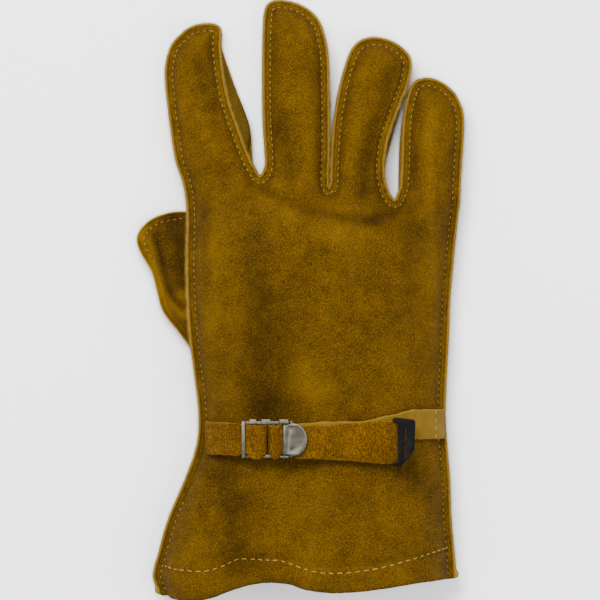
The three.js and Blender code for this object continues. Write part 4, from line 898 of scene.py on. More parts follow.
def hide(name, tones, raw, nap_mm, grain_share, bump_mm, sheen, roughness, layers_and_shade):
    """Leather: tones are its dark, middle and light colours, raw the colour of a cut edge, nap_mm the size
    of its tufts, grain_share how much they differ, bump_mm how high they stand, and layers_and_shade how
    clearly a sewn edge shows its layers of leather, with the painted shade between them and in the
    stitches' groove."""
    material, tree = new_material(name)
    place = add_node(tree, "ShaderNodeTexCoord").outputs["Object"]
    patches, blotches, nap = [
        add_node(
            tree, "ShaderNodeTexNoise", links={"Vector": place},
            values={"Scale": 1 / (size * MM), "Detail": detail, "Roughness": rough},
        )
        for size, detail, rough in (PATCHES, BLOTCHES, (nap_mm, 2.0, 0.65))
    ]
    combed = add_node(
        tree, "ShaderNodeMapping", values={"Rotation": (0.0, 0.0, 0.5), "Scale": (1.0, 0.3, 0.6)},
        links={"Vector": place},
    )
    strokes = add_node(
        tree, "ShaderNodeTexNoise", values={"Scale": 1.6 / (nap_mm * MM), "Detail": 1.0},
        links={"Vector": combed.outputs["Vector"]},
    )
    total = add_node(
        tree, "ShaderNodeMath", {"operation": "MULTIPLY_ADD"}, {1: 0.55, 2: 0.225},
        {0: patches.outputs["Fac"]},
    )
    for source, share in ((blotches, 0.35), (nap, grain_share), (strokes, 0.6 * grain_share)):
        centred = add_node(
            tree, "ShaderNodeMath", {"operation": "SUBTRACT"}, {1: 0.5}, {0: source.outputs["Fac"]},
        )
        total = add_node(
            tree, "ShaderNodeMath", {"operation": "MULTIPLY_ADD"}, {1: share},
            {0: centred.outputs[0], 2: total.outputs[0]},
        )
    # Painted light and shade of the folds, painted shade along seams, hem and side strips, and the hand's
    # painted shadow on the thumb
    painted = add_node(tree, "ShaderNodeAttribute", {"attribute_name": "tone"})
    total = add_node(
        tree, "ShaderNodeMath", {"operation": "MULTIPLY_ADD"}, {1: 1.0},
        {0: painted.outputs["Fac"], 2: total.outputs[0]},
    )
    seam = add_node(tree, "ShaderNodeAttribute", {"attribute_name": "seam"})
    uneven = add_node(
        tree, "ShaderNodeMath", {"operation": "MULTIPLY_ADD"}, {1: 0.9},
        {0: blotches.outputs["Fac"], 2: seam.outputs["Fac"]},
    )
    layers = add_node(
        tree, "ShaderNodeMapRange", values={"From Min": 0.45, "From Max": 5.45},
        links={"Value": uneven.outputs[0]},
    )
    # Edge bands: the cut edge's light layers, with painted shade between them and in the stitches' groove
    bands = add_node(tree, "ShaderNodeValToRGB", links={"Fac": layers.outputs["Result"]})
    for position, _ in EDGE_BANDS[1:-1]:
        bands.color_ramp.elements.new(position)
    for element, (_, level) in zip(bands.color_ramp.elements, EDGE_BANDS):
        element.color = (level, level, level, 1)
    total = add_node(
        tree, "ShaderNodeMath", {"operation": "MULTIPLY_ADD"}, {1: layers_and_shade},
        {0: bands.outputs["Color"], 2: total.outputs[0]},
    )
    total = add_node(
        tree, "ShaderNodeMath", {"operation": "SUBTRACT"}, {1: 0.5 * layers_and_shade}, {0: total.outputs[0]},
    )
    ramp = add_node(tree, "ShaderNodeValToRGB", links={"Fac": total.outputs[0]})
    ramp.color_ramp.elements.new(0.5)
    for element, position, tone in zip(ramp.color_ramp.elements, (0.05, 0.5, 0.95), tones):
        element.position = position
        element.color = colour(tone)
    ragged = add_node(
        tree, "ShaderNodeMath", {"operation": "MULTIPLY_ADD"}, {1: -1.4},
        {0: nap.outputs["Fac"], 2: seam.outputs["Fac"]},
    )
    cut = add_node(
        tree, "ShaderNodeMapRange", {"interpolation_type": "SMOOTHSTEP"},
        {"From Min": -1.2, "From Max": 0.05, "To Min": 1.0, "To Max": 0.0}, {"Value": ragged.outputs[0]},
    )
    base = add_node(
        tree, "ShaderNodeMix", {"data_type": "RGBA"}, {"B": colour(raw)},
        {"Factor": cut.outputs["Result"], "A": ramp.outputs["Color"]},
    )
    rise = add_node(
        tree, "ShaderNodeMath", {"operation": "MULTIPLY_ADD"}, {1: 0.6},
        {0: strokes.outputs["Fac"], 2: nap.outputs["Fac"]},
    )
    bump = add_node(
        tree, "ShaderNodeBump", values={"Strength": 0.9, "Distance": bump_mm * MM},
        links={"Height": rise.outputs[0]},
    )
    surface = add_node(
        tree, "ShaderNodeBsdfPrincipled",
        values={
            "Roughness": roughness, "Specular IOR Level": 0.06, "Sheen Weight": sheen,
            "Sheen Roughness": 0.55, "Sheen Tint": colour("#d8b268"),
        },
        links={"Base Color": base.outputs["Result"], "Normal": bump.outputs["Normal"]},
    )
    add_node(tree, "ShaderNodeOutputMaterial", links={"Surface": surface.outputs["BSDF"]})
    return material


# Split cowhide, dyed through and brushed: matt, mottled in soft patches, with a short nap in tufts of about
# 0.4 mm that show as a fine speckle
split_cowhide = hide(
    "split_cowhide_brushed", ("#201401", "#422d01", "#5f4403"), "#7c6124", 0.38, 2.2, 0.4, 0.0, 0.95, 0.5,
)
# The same hide in the straps, cut from a looser part of the skin: longer, redder, hairier nap, in tufts
# drawn 0.8 mm wide so that they show
strap_cowhide = hide(
    "split_cowhide_long_nap", ("#261601", "#452c01", "#644507"), "#6b4e12", 0.8, 1.5, 0.7, 0.02, 0.95, 0.0,
)
# The thinner hide of the side strips: closer nap and a greener brown
strip_cowhide = hide(
    "split_cowhide_thin", ("#2b2003", "#473506", "#60490c"), "#6b4c0f", 0.6, 0.8, 0.25, 0.02, 0.9, 0.0,
)
# Smooth side of the hide, drum dyed: lighter, even, with a faint fine grain
grain_cowhide = hide(
    "cowhide_smooth_side", ("#3f2e05", "#5a440c", "#6e5514"), "#75591c", 0.5, 0.4, 0.12, 0.01, 0.7, 0.0,
)


def two_toned(name, spots, stops, values, grain=None, relief=None, drawn=None, gloss=None):
    """A finish of two tones in spots, with a grain that stands up. spots and grain are the size in
    millimetres, detail and roughness of their patterns, stops the places and tones, relief the grain's
    strength and height in millimetres, drawn how it is stretched, and gloss the roughness that it gives."""
    material, tree = new_material(name)
    place = add_node(tree, "ShaderNodeTexCoord").outputs["Object"]
    along = place
    if drawn:
        mapping = add_node(tree, "ShaderNodeMapping", values={"Scale": drawn}, links={"Vector": place})
        along = mapping.outputs["Vector"]
    patterns = [
        add_node(
            tree, "ShaderNodeTexNoise", links={"Vector": vector},
            values={"Scale": 1 / (size * MM), "Detail": detail, "Roughness": rough},
        ).outputs["Fac"]
        for (size, detail, rough), vector in [(spots, place)] + [(grain, along)] * bool(grain)
    ]
    fine = patterns[-1]
    ramp = add_node(tree, "ShaderNodeValToRGB", links={"Fac": patterns[0]})
    for element, (position, tone) in zip(ramp.color_ramp.elements, stops):
        element.position = position
        element.color = colour(tone)
    links = {"Base Color": ramp.outputs["Color"]}
    if gloss:
        shine = add_node(
            tree, "ShaderNodeMapRange",
            values={"From Min": 0.3, "From Max": 0.7, "To Min": gloss[0], "To Max": gloss[1]},
            links={"Value": fine},
        )
        links["Roughness"] = shine.outputs["Result"]
    if relief:
        bump = add_node(
            tree, "ShaderNodeBump", values={"Strength": relief[0], "Distance": relief[1] * MM},
            links={"Height": fine},
        )
        links["Normal"] = bump.outputs["Normal"]
    surface = add_node(tree, "ShaderNodeBsdfPrincipled", values=values, links=links)
    add_node(tree, "ShaderNodeOutputMaterial", links={"Surface": surface.outputs["BSDF"]})
    return material


# Pressed steel with worn nickel plating: grey, satin, with fine scratches and darker hollows
steel = two_toned(
    "pressed_steel_nickel_plated", (2.5, 4.0, 0.65), ((0.3, "#3d3b35"), (0.65, "#575449")), {"Metallic": 1.0},
    grain=(0.25, 3.0, 0.5), relief=(0.35, 0.04), drawn=(1.0, 0.08, 1.0), gloss=(0.46, 0.62),
)
# Moulded black nylon: satin, very slightly pebbled, with grey rubbed spots
nylon = two_toned(
    "moulded_black_nylon", (3.2, 4.0, 0.7), ((0.5, "#030303"), (0.85, "#111110")),
    {"Roughness": 0.6, "IOR": 1.53, "Specular IOR Level": 0.06},
    grain=(0.5, 2.0, 0.5), relief=(0.3, 0.05),
)
# Spun aramid thread: pale tan, matt, with the slant of its twist in its surface
thread = two_toned(
    "spun_aramid_thread", (0.35, 1.0, 0.5), ((0.0, "#5f480b"), (1.0, "#8e6f17")),
    {"Roughness": 0.8, "Sheen Weight": 0.2, "Sheen Roughness": 0.4}, relief=(0.5, 0.08),
)
# Loose fibres of the cut hide: matt, paler than its face
fibres = two_toned(
    "cut_hide_fibres", (3, 2.0, 0.5), ((0.3, "#5f460f"), (0.7, "#8d7336")),
    {"Roughness": 0.95, "Specular IOR Level": 0.1},
)


# Back and palm panels

def panel(name, is_palm, outset, surface, material, coarse):
    """One hand panel, walled on the surface given. Returns its sewn edge and the line of its mouth."""
    grids, edge, bottom = panel_grids(is_palm, outset, coarse)
    sheet = weld([raised(grid, *surface(grid.reshape(-1, 5), edge, bottom)) for grid in grids])
    points = sheet[0]
    above, hem = hem_share(bottom, points[:, 0], points[:, 1])
    wall = LEATHER * (1 + HEM_WALL_THICKER * hem)
    rounding = RIM_ROUNDING + MOUTH_ROUNDING * np.exp(-((above / 2) ** 2))
    made = shell(name, sheet, wall, material, flipped=is_palm, holed=is_palm, rounding=rounding)
    finished(made, "glove", "suede", "palm_panel" if is_palm else "back_panel")
    return edge, bottom


back_edge, back_bottom = panel("back_leather", False, 0.0, back_surface, split_cowhide, 1.0)
palm_edge, _ = panel("palm_leather", True, LAYER_STEP, palm_surface, split_cowhide, 1.5)


# Side strips between the fingers

STRIP_LAP = 0.44  # how far a side strip runs on round the fingertip, as a share of the way round it
FLANK_ROWS = 60  # rows of its mesh along a finger, round a fingertip and round a crotch
LAP_ROWS = 28
CROTCH_ROWS = 25
FADE_ROWS = 24  # over which a strip's bulge fades at each end
PAST_STITCHES = 0.6  # how far its turn lies behind the stitches
FLANGE_LINES = (0.4, 1.2, 2.2, 3.0)  # mesh lines of its sewn edges, from the raw edge
STRIP_ROUGHNESS = ((9, 0.35),)


def strip_lines(f, is_palm, outset):
    """One sewn edge of a side strip, as rows from the tip of one finger to the tip of the next."""
    between, _ = panel_outline(is_palm, outset)

    def flank(finger, near, far):
        name = finger[0]
        """One side of a finger and some way on round its tip."""
        shoulder = name + "Shoulder"
        sides = between(name + near, shoulder + near, np.linspace(0, 1, FLANK_ROWS))
        on = between(shoulder + near, shoulder + far, np.linspace(0, STRIP_LAP, LAP_ROWS)[1:])
        return np.concatenate([sides, on])

    first, second = FINGERS[f], FINGERS[f + 1]
    crotch = between(first[0] + "Right", second[0] + "Left", np.linspace(0, 1, CROTCH_ROWS))[1:-1]
    return np.concatenate([flank(first, "Right", "Left")[::-1], crotch, flank(second, "Left", "Right")])


def inward(line):
    """Unit steps in the plan, square to a line and into the fingers that it runs round."""
    dx, dy = np.gradient(line[:, 0]), np.gradient(line[:, 1])
    length = np.hypot(dx, dy)
    return np.stack([dy / length, -dx / length], 1)


def side_strip(f):
    """The strip between finger f and the next, sewn to the back above and the palm below."""
    name = "strip_" + FINGERS[f][0] + "_" + FINGERS[f + 1][0]
    upper = strip_lines(f, False, LAYER_STEP)
    lower = strip_lines(f, True, LAYER_STEP)
    up_in, low_in = inward(upper), inward(lower)
    depth = SEAM_ALLOWANCE + PAST_STITCHES
    top = upper[:, 2] - SEAM_GAP - STRIP_LEATHER
    bottom = np.minimum(lower[:, 2] + SEAM_GAP + STRIP_LEATHER, top - 0.2)
    stands_out = ((upper - lower)[:, :2] * up_in).sum(1)
    bulge = 1.0 + np.clip(stands_out, 0, 5)
    number = np.arange(len(upper))
    ends = smooth(np.minimum(number, number[::-1]) / FADE_ROWS)
    bulge = bulge * ends
    lower[:, :2] = mix(upper[:, :2], lower[:, :2], ends[:, None])
    section = [(d, 0, 0) for d in (0.0,) + FLANGE_LINES] + [(depth - 0.4, 0.02, 0)]
    section += [(depth, t, math.sin(math.pi * t**1.6)) for t in np.linspace(0.06, 0.94, 12)]
    section += [(depth - 0.4, 0.98, 0)] + [(d, 1, 0) for d in FLANGE_LINES[::-1] + (0.0,)]
    columns = []
    seams = []
    for d, t, push in section:
        plan = mix(upper[:, :2] + up_in * d, lower[:, :2] + low_in * d, t)
        plan = plan - up_in * (push * bulge)[:, None]
        z = mix(top, bottom, t) + waves(plan[:, 0], plan[:, 1], STRIP_ROUGHNESS, 13 + t) * push
        columns.append(np.column_stack([plan, z]))
        # The strip's tone is painted darker towards the middle of its bulge: painted shade between the
        # fingers
        seams.append(np.column_stack([np.full(len(plan), -0.15 * push), np.full(len(plan), d + 3 * push)]))
    grid = np.stack(columns, 1)
    values = np.stack(seams, 1)
    points = grid.reshape(-1, 3)
    sheet = (points, quads(*grid.shape[:2]), values.reshape(-1, 2))
    wall = np.full(len(points), float(STRIP_LEATHER))
    made = shell(name, sheet, wall, strip_cowhide, flipped=True)
    finished(made, "glove", "suede", name)


for finger_gap in range(len(FINGERS) - 1):
    side_strip(finger_gap)


# Thumb halves

def thumb_half(name, is_upper):
    """One half of the folded thumb and the sewn edge round it."""
    start = THUMB_TOP_START if is_upper else 0
    rows = THUMB[start:]

    def side_row(row, column):
        return across(row[column]), thumb_base_y + row[0] * THUMB_LENGTH, row[3] * BODY_HEIGHT

    tip = (across(THUMB_TIP), thumb_base_y + THUMB_LENGTH, THUMB[-1][3] * BODY_HEIGHT)
    line = [side_row(r, 1) for r in rows] + [tip] + [side_row(r, 2) for r in reversed(rows)]
    at, knots = spline(line)
    shoulder = THUMB_SHOULDER - start
    left_end, right_end = knots[shoulder], knots[2 * len(rows) - shoulder]
    shares = spaced(THUMB_LENGTH, start_lines=(0,))
    left = at(mix(0, left_end, shares))
    right = at(mix(1, right_end, shares))
    columns = spaced(right[0, 0] - left[0, 0])
    bottom = mix(left[:1], right[:1], columns[:, None])
    top = at(mix(left_end, right_end, columns))
    grid = patch(bottom, top, left, right, columns, shares)
    edge = at(np.linspace(0, 1, 600))
    x, y, seam = grid.reshape(-1, 3).T
    distance, _ = nearest_on(edge, x, y)
    rise = dome((distance - SEAM_ALLOWANCE) / FINGER_REACH)
    tone = np.zeros(len(x))
    if is_upper:
        base = seam + SEAM_GAP / 2 + LEATHER
        swell = np.maximum(0, thumb_value(y, 4) * BODY_HEIGHT - 2 * SEAM_GAP - base)
        z = base + swell * rise
        inland = smooth((distance - SEAM_ALLOWANCE) / INLAND)
        height, tone = soft_folds(THUMB_FOLDS, x, y)
        z += inland * (height + waves(x, y, THUMB_RIPPLES, 31.0))
        z -= THUMB_DENT * band(distance, SEAM_ALLOWANCE, THUMB_DENT_WIDTH)
    else:
        z = np.maximum(0, seam - SEAM_GAP / 2 - LEATHER) * (1 - rise)
    sheet = weld([raised(grid, z, tone, distance)])
    wall = np.full(len(sheet[0]), float(LEATHER))
    made = shell(name + "_leather", sheet, wall, split_cowhide, flipped=not is_upper, holed=is_upper)
    finished(made, "glove", "suede", name)
    return edge


# Folds of the thumb's upper half, in the columns of the back's soft folds, with their painted light and shade
THUMB_FOLDS = (
    (((139, 226), (142, 240), (150, 255), (156, 275), (161, 293), (169, 307), (180, 316), (194, 321)),
     5, 1.3, 0.4),
    (((154, 236), (161, 258), (166, 283), (172, 298), (182, 308)), 3.5, -0.9, -0.4),
    (((182, 298), (190, 302), (200, 306)), 7, 1.7, 0.42),
    # Painted shadow under the hand's edge, over a shallow hollow
    (((170, 215), (180, 250), (184, 284)), 16, -0.3, -0.34),
    (((172, 322), (180, 330), (192, 342)), 6, -0.3, -0.1),
)
thumb_edge = thumb_half("thumb_upper", True)
thumb_half("thumb_lower", False)


# Straps. They follow the same deck as their solids: the hull of the back that lies under them.

RAY_START = 200  # height above all pieces from which the surface below is looked for
HULL_SPOTS = (121, 9)  # places along the strap and across it at which the back's height is read
HULL_MARGIN = 0.5
LOOP_ROWS = 14  # rows of a strap's line in a loop, its tail, and its lower and upper runs
TAIL_ROWS = 10
ANCHOR_ROWS = 36
LOWER_ROWS = 70
UPPER_ROWS = 60


def tree_of(piece):
    """A search tree of a mesh object, in the tables' millimetres."""
    shift = Vector((TABLES_X, TABLES_Y, 0))
    places = [v.co / MM - shift for v in piece.data.vertices]
    return BVHTree.FromPolygons(places, [tuple(p.vertices) for p in piece.data.polygons])


def top_of(tree, x, y):
    """Place and normal of a surface's highest point over a place of the plan."""
    hit, normal, _, _ = tree.ray_cast(Vector((x, y, RAY_START)), Vector((0, 0, -1)))
    return (hit, normal) if hit else (Vector((x, y, 0)), Vector((0, 0, 1)))


solid_back = tree_of(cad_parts["back_panel"])
strap_left = across(lookup(SIDES, STRAP_Y, 1)) + STRAP_INSET
strap_right = across(lookup(SIDES, TAB_Y, 2)) - STRAP_INSET
buckle_left = across(BUCKLE_X)
pivot_x = BUCKLE_LENGTH - PIVOT_INSET  # the lever's axis, from the buckle's left end
buckle_right = buckle_left + pivot_x + LEVER_LENGTH  # the lever's free end


def pulled_hull():
    """The line of a strap pulled tight over the back: the convex line over its highest places."""
    reach = max(STRAP_HANG + STRAP_END_WIDTH / 2, UNDER_SHIFT + STRAP_UNDER_WIDTH / 2)
    reach += HULL_MARGIN
    kept = []
    for x in np.linspace(strap_left, strap_right, HULL_SPOTS[0]):
        spots = strap_middle(x) + np.linspace(-reach, reach, HULL_SPOTS[1])
        p = (x, max(top_of(solid_back, x, y)[0].z for y in spots))
        while len(kept) > 1:
            a, b = kept[-2:]
            if (b[1] - a[1]) * (p[0] - a[0]) > (p[1] - a[1]) * (b[0] - a[0]):
                break
            kept.pop()
        kept.append(p)
    return np.array(kept)


hull_line = pulled_hull()


def hull(x):
    """Height of the tight line with a seam's gap under it."""
    return SEAM_GAP + np.interp(x, hull_line[:, 0], hull_line[:, 1])


buckle_slope = (hull(buckle_right) - hull(buckle_left)) / (buckle_right - buckle_left)
buckle_run = np.linspace(buckle_left, buckle_right, 60)
buckle_lift = (hull(buckle_run) - hull(buckle_left) - (buckle_run - buckle_left) * buckle_slope).max()


def deck(x):
    """Height on which the straps lie: the tight line, and one straight slope under the buckle."""
    into = smooth((x - buckle_left + RAMP) / RAMP) * smooth((buckle_right + RAMP - x) / RAMP)
    return mix(hull(x), hull(buckle_left) + (x - buckle_left) * buckle_slope + buckle_lift, into)


def above_deck(x, rise):
    """A height above the deck, measured square to its slope."""
    slope = deck(x + 0.5) - deck(x - 0.5)
    return deck(x) + rise * np.hypot(1, slope)


layer = LEATHER + STRAP_BULK
loop_radius = math.hypot(BUCKLE_BAR, BUCKLE_PLATE) / 2 + SEAM_GAP + LEATHER / 2
buckle_middle = buckle_left + BUCKLE_LENGTH * SLOT_SHARE
loop_reach = loop_radius + LEATHER / 2
stub_turn = buckle_middle - BUCKLE_SLOT / 2 - loop_reach
strap_turn = buckle_middle + BUCKLE_SLOT / 2 + loop_reach
tilt = math.atan(buckle_slope)


def top_level(x):
    """Middle height of the runs that lie on top of both loops."""
    return above_deck(x, 2 * loop_radius + LEATHER / 2)


def hang(share):
    """Middle of a run of strap that hangs over the buckle's rail by a share of its full hang."""
    return strap_y - STRAP_HANG * share


def loop_rows(centre_x, side):
    """A half turn from the lower run to the upper one: x, z, y and width. side is 1 if it bulges right."""
    centre_z = above_deck(centre_x, LEATHER / 2 + loop_radius)
    rows = []
    for t in np.linspace(0, 1, LOOP_ROWS):
        angle = math.pi * (t - 0.5)
        out, up = loop_radius * math.cos(angle) * side, loop_radius * math.sin(angle)
        x = centre_x + out * math.cos(tilt) - up * math.sin(tilt)
        z = centre_z + out * math.sin(tilt) + up * math.cos(tilt)
        opened = smooth((t - RAIL_TURN) / (1 - RAIL_TURN))
        rows.append((x, z, hang(opened), mix(STRAP_UNDER_WIDTH, STRAP_WIDTH, opened)))
    return rows


def anchor_rows():
    """The short strap from its tail under the buckle, round its bar, to the thumb's side seam."""
    rows = []
    for x in np.linspace(stub_turn - STUB_TAIL, stub_turn - 1, TAIL_ROWS):
        rows.append((x, above_deck(x, LEATHER / 2), strap_y, STRAP_UNDER_WIDTH))
    rows += loop_rows(stub_turn, 1)
    for x in np.linspace(stub_turn - 1, strap_left + SEAM_ALLOWANCE, ANCHOR_ROWS):
        u = x - buckle_left
        rise = smooth((x - strap_left) / (stub_turn - STUB_TAIL - strap_left - 2))
        inside = smooth((u - BUCKLE_BAR - SEAM_GAP) / TURN_OUT)
        outside = smooth((-SEAM_GAP - u) / TURN_OUT)
        width = mix(mix(STRAP_UNDER_WIDTH, STRAP_WIDTH, inside), ANCHOR_WIDTH, outside)
        y = hang(inside) + ANCHOR_SHIFT * smooth(u / (strap_left - buckle_left))
        rows.append((x, mix(above_deck(x, LEATHER / 2), top_level(x), rise), y, width))
    return rows


ear_half = LEVER_BARREL + EAR_WALL
hook_left = across(HOOK_X)
hook_base = max(
    above_deck(x, LEATHER + SEAM_GAP)
    for x in np.linspace(hook_left - HOOK_WING, hook_left + HOOK_LENGTH, 8)
)
pocket_level = hook_base + HOOK_JAW + SEAM_GAP + LEATHER / 2


def main_rows():
    """The wrist strap from the little finger's side seam, round its bar and back into the end hook."""
    rows = []
    for x in np.linspace(strap_right, strap_turn + 1, LOWER_ROWS):
        off = UNDER_SHIFT * smooth((x - buckle_right + RAMP) / (2 * RAMP)) * (tab_y - strap_middle(x))
        y = strap_middle(x) + off / (tab_y - strap_y)
        rows.append((x, above_deck(x, LEATHER / 2), y, STRAP_UNDER_WIDTH))
    rows += loop_rows(strap_turn, -1)
    end = hook_left - HOOK_WING - 0.5
    for x in np.linspace(strap_turn + 1, end, UPPER_ROWS):
        u = x - buckle_left - pivot_x
        in_ears = smooth((u + ear_half + TURN_OUT) / (TURN_OUT - SEAM_GAP))
        in_ears *= smooth((ear_half + TURN_OUT - u) / (TURN_OUT - SEAM_GAP))
        flare = smooth((x - buckle_right) / (end - buckle_right))
        settled = smooth((x - buckle_right) / RAMP)
        raised = smooth((x - end + 2 * RAMP) / (2 * RAMP))
        rest = mix(top_level(x), above_deck(x, LEATHER / 2 + layer), settled)
        width = mix(mix(STRAP_WIDTH, STRAP_END_WIDTH, flare), STRAP_UNDER_WIDTH, in_ears)
        rows.append((x, mix(rest, pocket_level, raised), hang(1 - in_ears), width))
    rows.append((hook_left + 0.4, pocket_level, hang(1), STRAP_END_WIDTH))
    tip = hook_left + HOOK_POCKET - SEAM_GAP
    rows.append((tip, pocket_level, hang(1) + END_CUT / 2, STRAP_END_WIDTH - END_CUT))
    return rows


STRAP_COLUMNS = 16  # mesh columns across a strap's face
STRAP_STEP = 0.7
STRAP_EDGE = 0.55  # rounding of a strap's raw edges
STRAP_WANDER = (9, 0.45)  # length and width of its slow sway in the plan
STRAP_RAGGED = (4, 0.35)  # length and depth of the uneven places of its edges
STRAP_TUFTS = (3, 1.4)  # sizes of the large and the small unevenness of its faces
TUFT_HEIGHT = 0.2
EDGE_TUFTS = 0.25


def strap(name, rows, faces_up, faces_down, nap, seed, nodes):
    """A strap swept along its rows. faces_up is the finish of the side that looks up where a row runs to
    the right, faces_down of the other, and nap how uneven its faces are."""
    rows = np.array(rows)
    steps = np.hypot(*np.diff(rows[:, :2], axis=0).T)
    along = np.concatenate([[0], np.cumsum(steps)])
    count = int(along[-1] / STRAP_STEP)
    spots = np.linspace(0, along[-1], count + 1)
    rows = np.stack([np.interp(spots, along, c) for c in rows.T], 1)
    ahead = np.roll(rows, -1, 0) - np.roll(rows, 1, 0)
    ahead[0], ahead[-1] = rows[1] - rows[0], rows[-1] - rows[-2]
    length = np.hypot(ahead[:, 0], ahead[:, 1])
    nx, nz = -ahead[:, 1] / length, ahead[:, 0] / length
    face = np.cos(np.linspace(math.pi, 0, STRAP_COLUMNS + 1))
    profile = [(u, 1) for u in face] + [(1, v) for v in (0.5, 0, -0.5)]
    profile += [(u, -1) for u in face[::-1]] + [(-1, v) for v in (-0.5, 0, 0.5)]
    points = []
    seams = []
    for i, (x, z, y, width) in enumerate(rows):
        wander = STRAP_WANDER[1] * noise.noise(Vector((spots[i] / STRAP_WANDER[0], seed, 0)))
        for u, v in profile:
            ragged = STRAP_RAGGED[1] * noise.noise(Vector((spots[i] / STRAP_RAGGED[0], seed + 3 * u, 2)))
            half = width / 2 + ragged
            edge = half * (1 - abs(u))
            thick = LEATHER / 2 * (1 - 0.5 * max(0, 1 - edge / STRAP_EDGE) ** 2)
            large, small = STRAP_TUFTS
            rough = noise.noise(Vector((spots[i] / large, u * half / large, seed + v)))
            rough += 0.6 * noise.noise(Vector((spots[i] / small, u * half / small, seed - v)))
            level = v * thick + (nap * TUFT_HEIGHT * rough * np.sign(v) if abs(v) == 1 else 0)
            out = u * half + (EDGE_TUFTS * rough if abs(v) < 1 else 0)
            points.append((x + nx[i] * level, y + wander + out, z + nz[i] * level))
            seams.append(edge if abs(v) == 1 else -0.5)
    size = len(profile)
    faces = quads(len(rows), size, closed=True)
    under = range(STRAP_COLUMNS + 2, 2 * STRAP_COLUMNS + 6)
    kinds = [int(k in under) for _ in rows[1:] for k in range(size)]
    last = (len(rows) - 1) * size
    faces.append(list(range(size))[::-1])
    faces.append([last + k for k in range(size)])
    kinds += [0, 0]
    attributes = {"tone": np.zeros(len(points)), "seam": np.array(seams)}
    made = as_object(name, points, faces, attributes, [faces_up, faces_down], kinds)
    turn_outward(made)
    finished(made, "glove", "suede" if faces_down is not grain_cowhide else "grain_leather", *nodes)
    return made


def turn_outward(piece):
    """Turns a closed piece's faces so that they look outwards."""
    work = bmesh.new()
    work.from_mesh(piece.data)
    if work.calc_volume(signed=True) < 0:
        bmesh.ops.reverse_faces(work, faces=work.faces)
        work.to_mesh(piece.data)
    work.free()


strap("anchor_strap", anchor_rows(), strap_cowhide, strap_cowhide, 1.0, 4.0, ["strap_anchor"])
wrist = strap("wrist_strap_leather", main_rows(), strap_cowhide, grain_cowhide, 1.0, 8.0, ["wrist_strap"])


# Buckle and end hook: the solids with rounded edges

FLAT_FACES = 1  # degrees up to which neighbouring faces are one
BEVELLED_EDGE = 30
SHARP_EDGE = 40


def rounded(node, name, body, slot, material, radius):
    """A solid's own shape with the edges of its faces rounded to a radius in millimetres."""
    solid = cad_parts[node]
    mesh = solid.data.copy()
    mesh.name = name
    work = bmesh.new()
    work.from_mesh(mesh)
    bmesh.ops.remove_doubles(work, verts=work.verts, dist=1e-6)
    flat = math.radians(FLAT_FACES)
    bmesh.ops.dissolve_limit(work, angle_limit=flat, verts=work.verts, edges=work.edges)
    steep = math.radians(BEVELLED_EDGE)
    sharp = [e for e in work.edges if len(e.link_faces) == 2 and e.calc_face_angle() > steep]
    bmesh.ops.bevel(
        work, geom=sharp, offset=radius * MM, segments=2, profile=0.5, affect="EDGES", clamp_overlap=True,
    )
    work.to_mesh(mesh)
    work.free()
    mesh.materials.clear()
    mesh.materials.append(material)
    mesh.polygons.foreach_set("material_index", [0] * len(mesh.polygons))
    mesh.polygons.foreach_set("use_smooth", [True] * len(mesh.polygons))
    mesh.set_sharp_from_angle(angle=math.radians(SHARP_EDGE))
    finished(in_scene(name, mesh), body, slot, node)


rounded("buckle_frame", "buckle_frame_steel", "glove", "steel", steel, 0.18)
rounded("buckle_lever", "buckle_lever_steel", "lever", "steel", steel, 0.14)
rounded("strap_hook", "strap_hook_nylon", "glove", "black_plastic", nylon, 0.35)


# Stitches: one dash of thread repeated along each sewn line by a node tree

def dash_mesh(length, radius, dip):
    """One stitch: a thread that bows out of the leather and dives into it at both ends."""
    points = []
    rings, sides = 7, 6
    for i in range(rings):
        t = i / (rings - 1) * 2 - 1
        size = radius * (1 - 0.35 * t**4)
        for k in range(sides):
            angle = 2 * math.pi * k / sides
            y, z = size * math.cos(angle), size * math.sin(angle) - dip * t**4
            points.append((t * length / 2 * MM, y * MM, z * MM))
    faces = quads(rings, sides, closed=True)
    faces.append(tuple(range(sides))[::-1])
    faces.append(tuple((rings - 1) * sides + k for k in range(sides)))
    mesh = bpy.data.meshes.new("dash")
    mesh.from_pydata(points, [], faces)
    mesh.polygons.foreach_set("use_smooth", [True] * len(mesh.polygons))
    return bpy.data.objects.new("dash", mesh)


def line_object(name, lines):
    """Edges along sewn lines, each a list of places and normals, with the normals as an attribute."""
    points, edges, ups = [], [], []
    for line in lines:
        first = len(points)
        for place, normal in line:
            points.append(tuple((place + Vector((TABLES_X, TABLES_Y, 0))) * MM))
            ups.append(tuple(normal))
        edges += [(k, k + 1) for k in range(first, len(points) - 1)]
    mesh = bpy.data.meshes.new(name)
    mesh.from_pydata(points, edges, [])
    up = mesh.attributes.new("up", "FLOAT_VECTOR", "POINT")
    up.data.foreach_set("vector", np.array(ups, np.float32).ravel())
    return in_scene(name, mesh)


# How far each dash sways about its own axes, in radians, and its smallest and largest scale
SWAY = (0.05, 0.05, 0.14)
SMALLEST = (0.82, 0.8, 0.85)
LARGEST = (1.1, 1.15, 1.1)


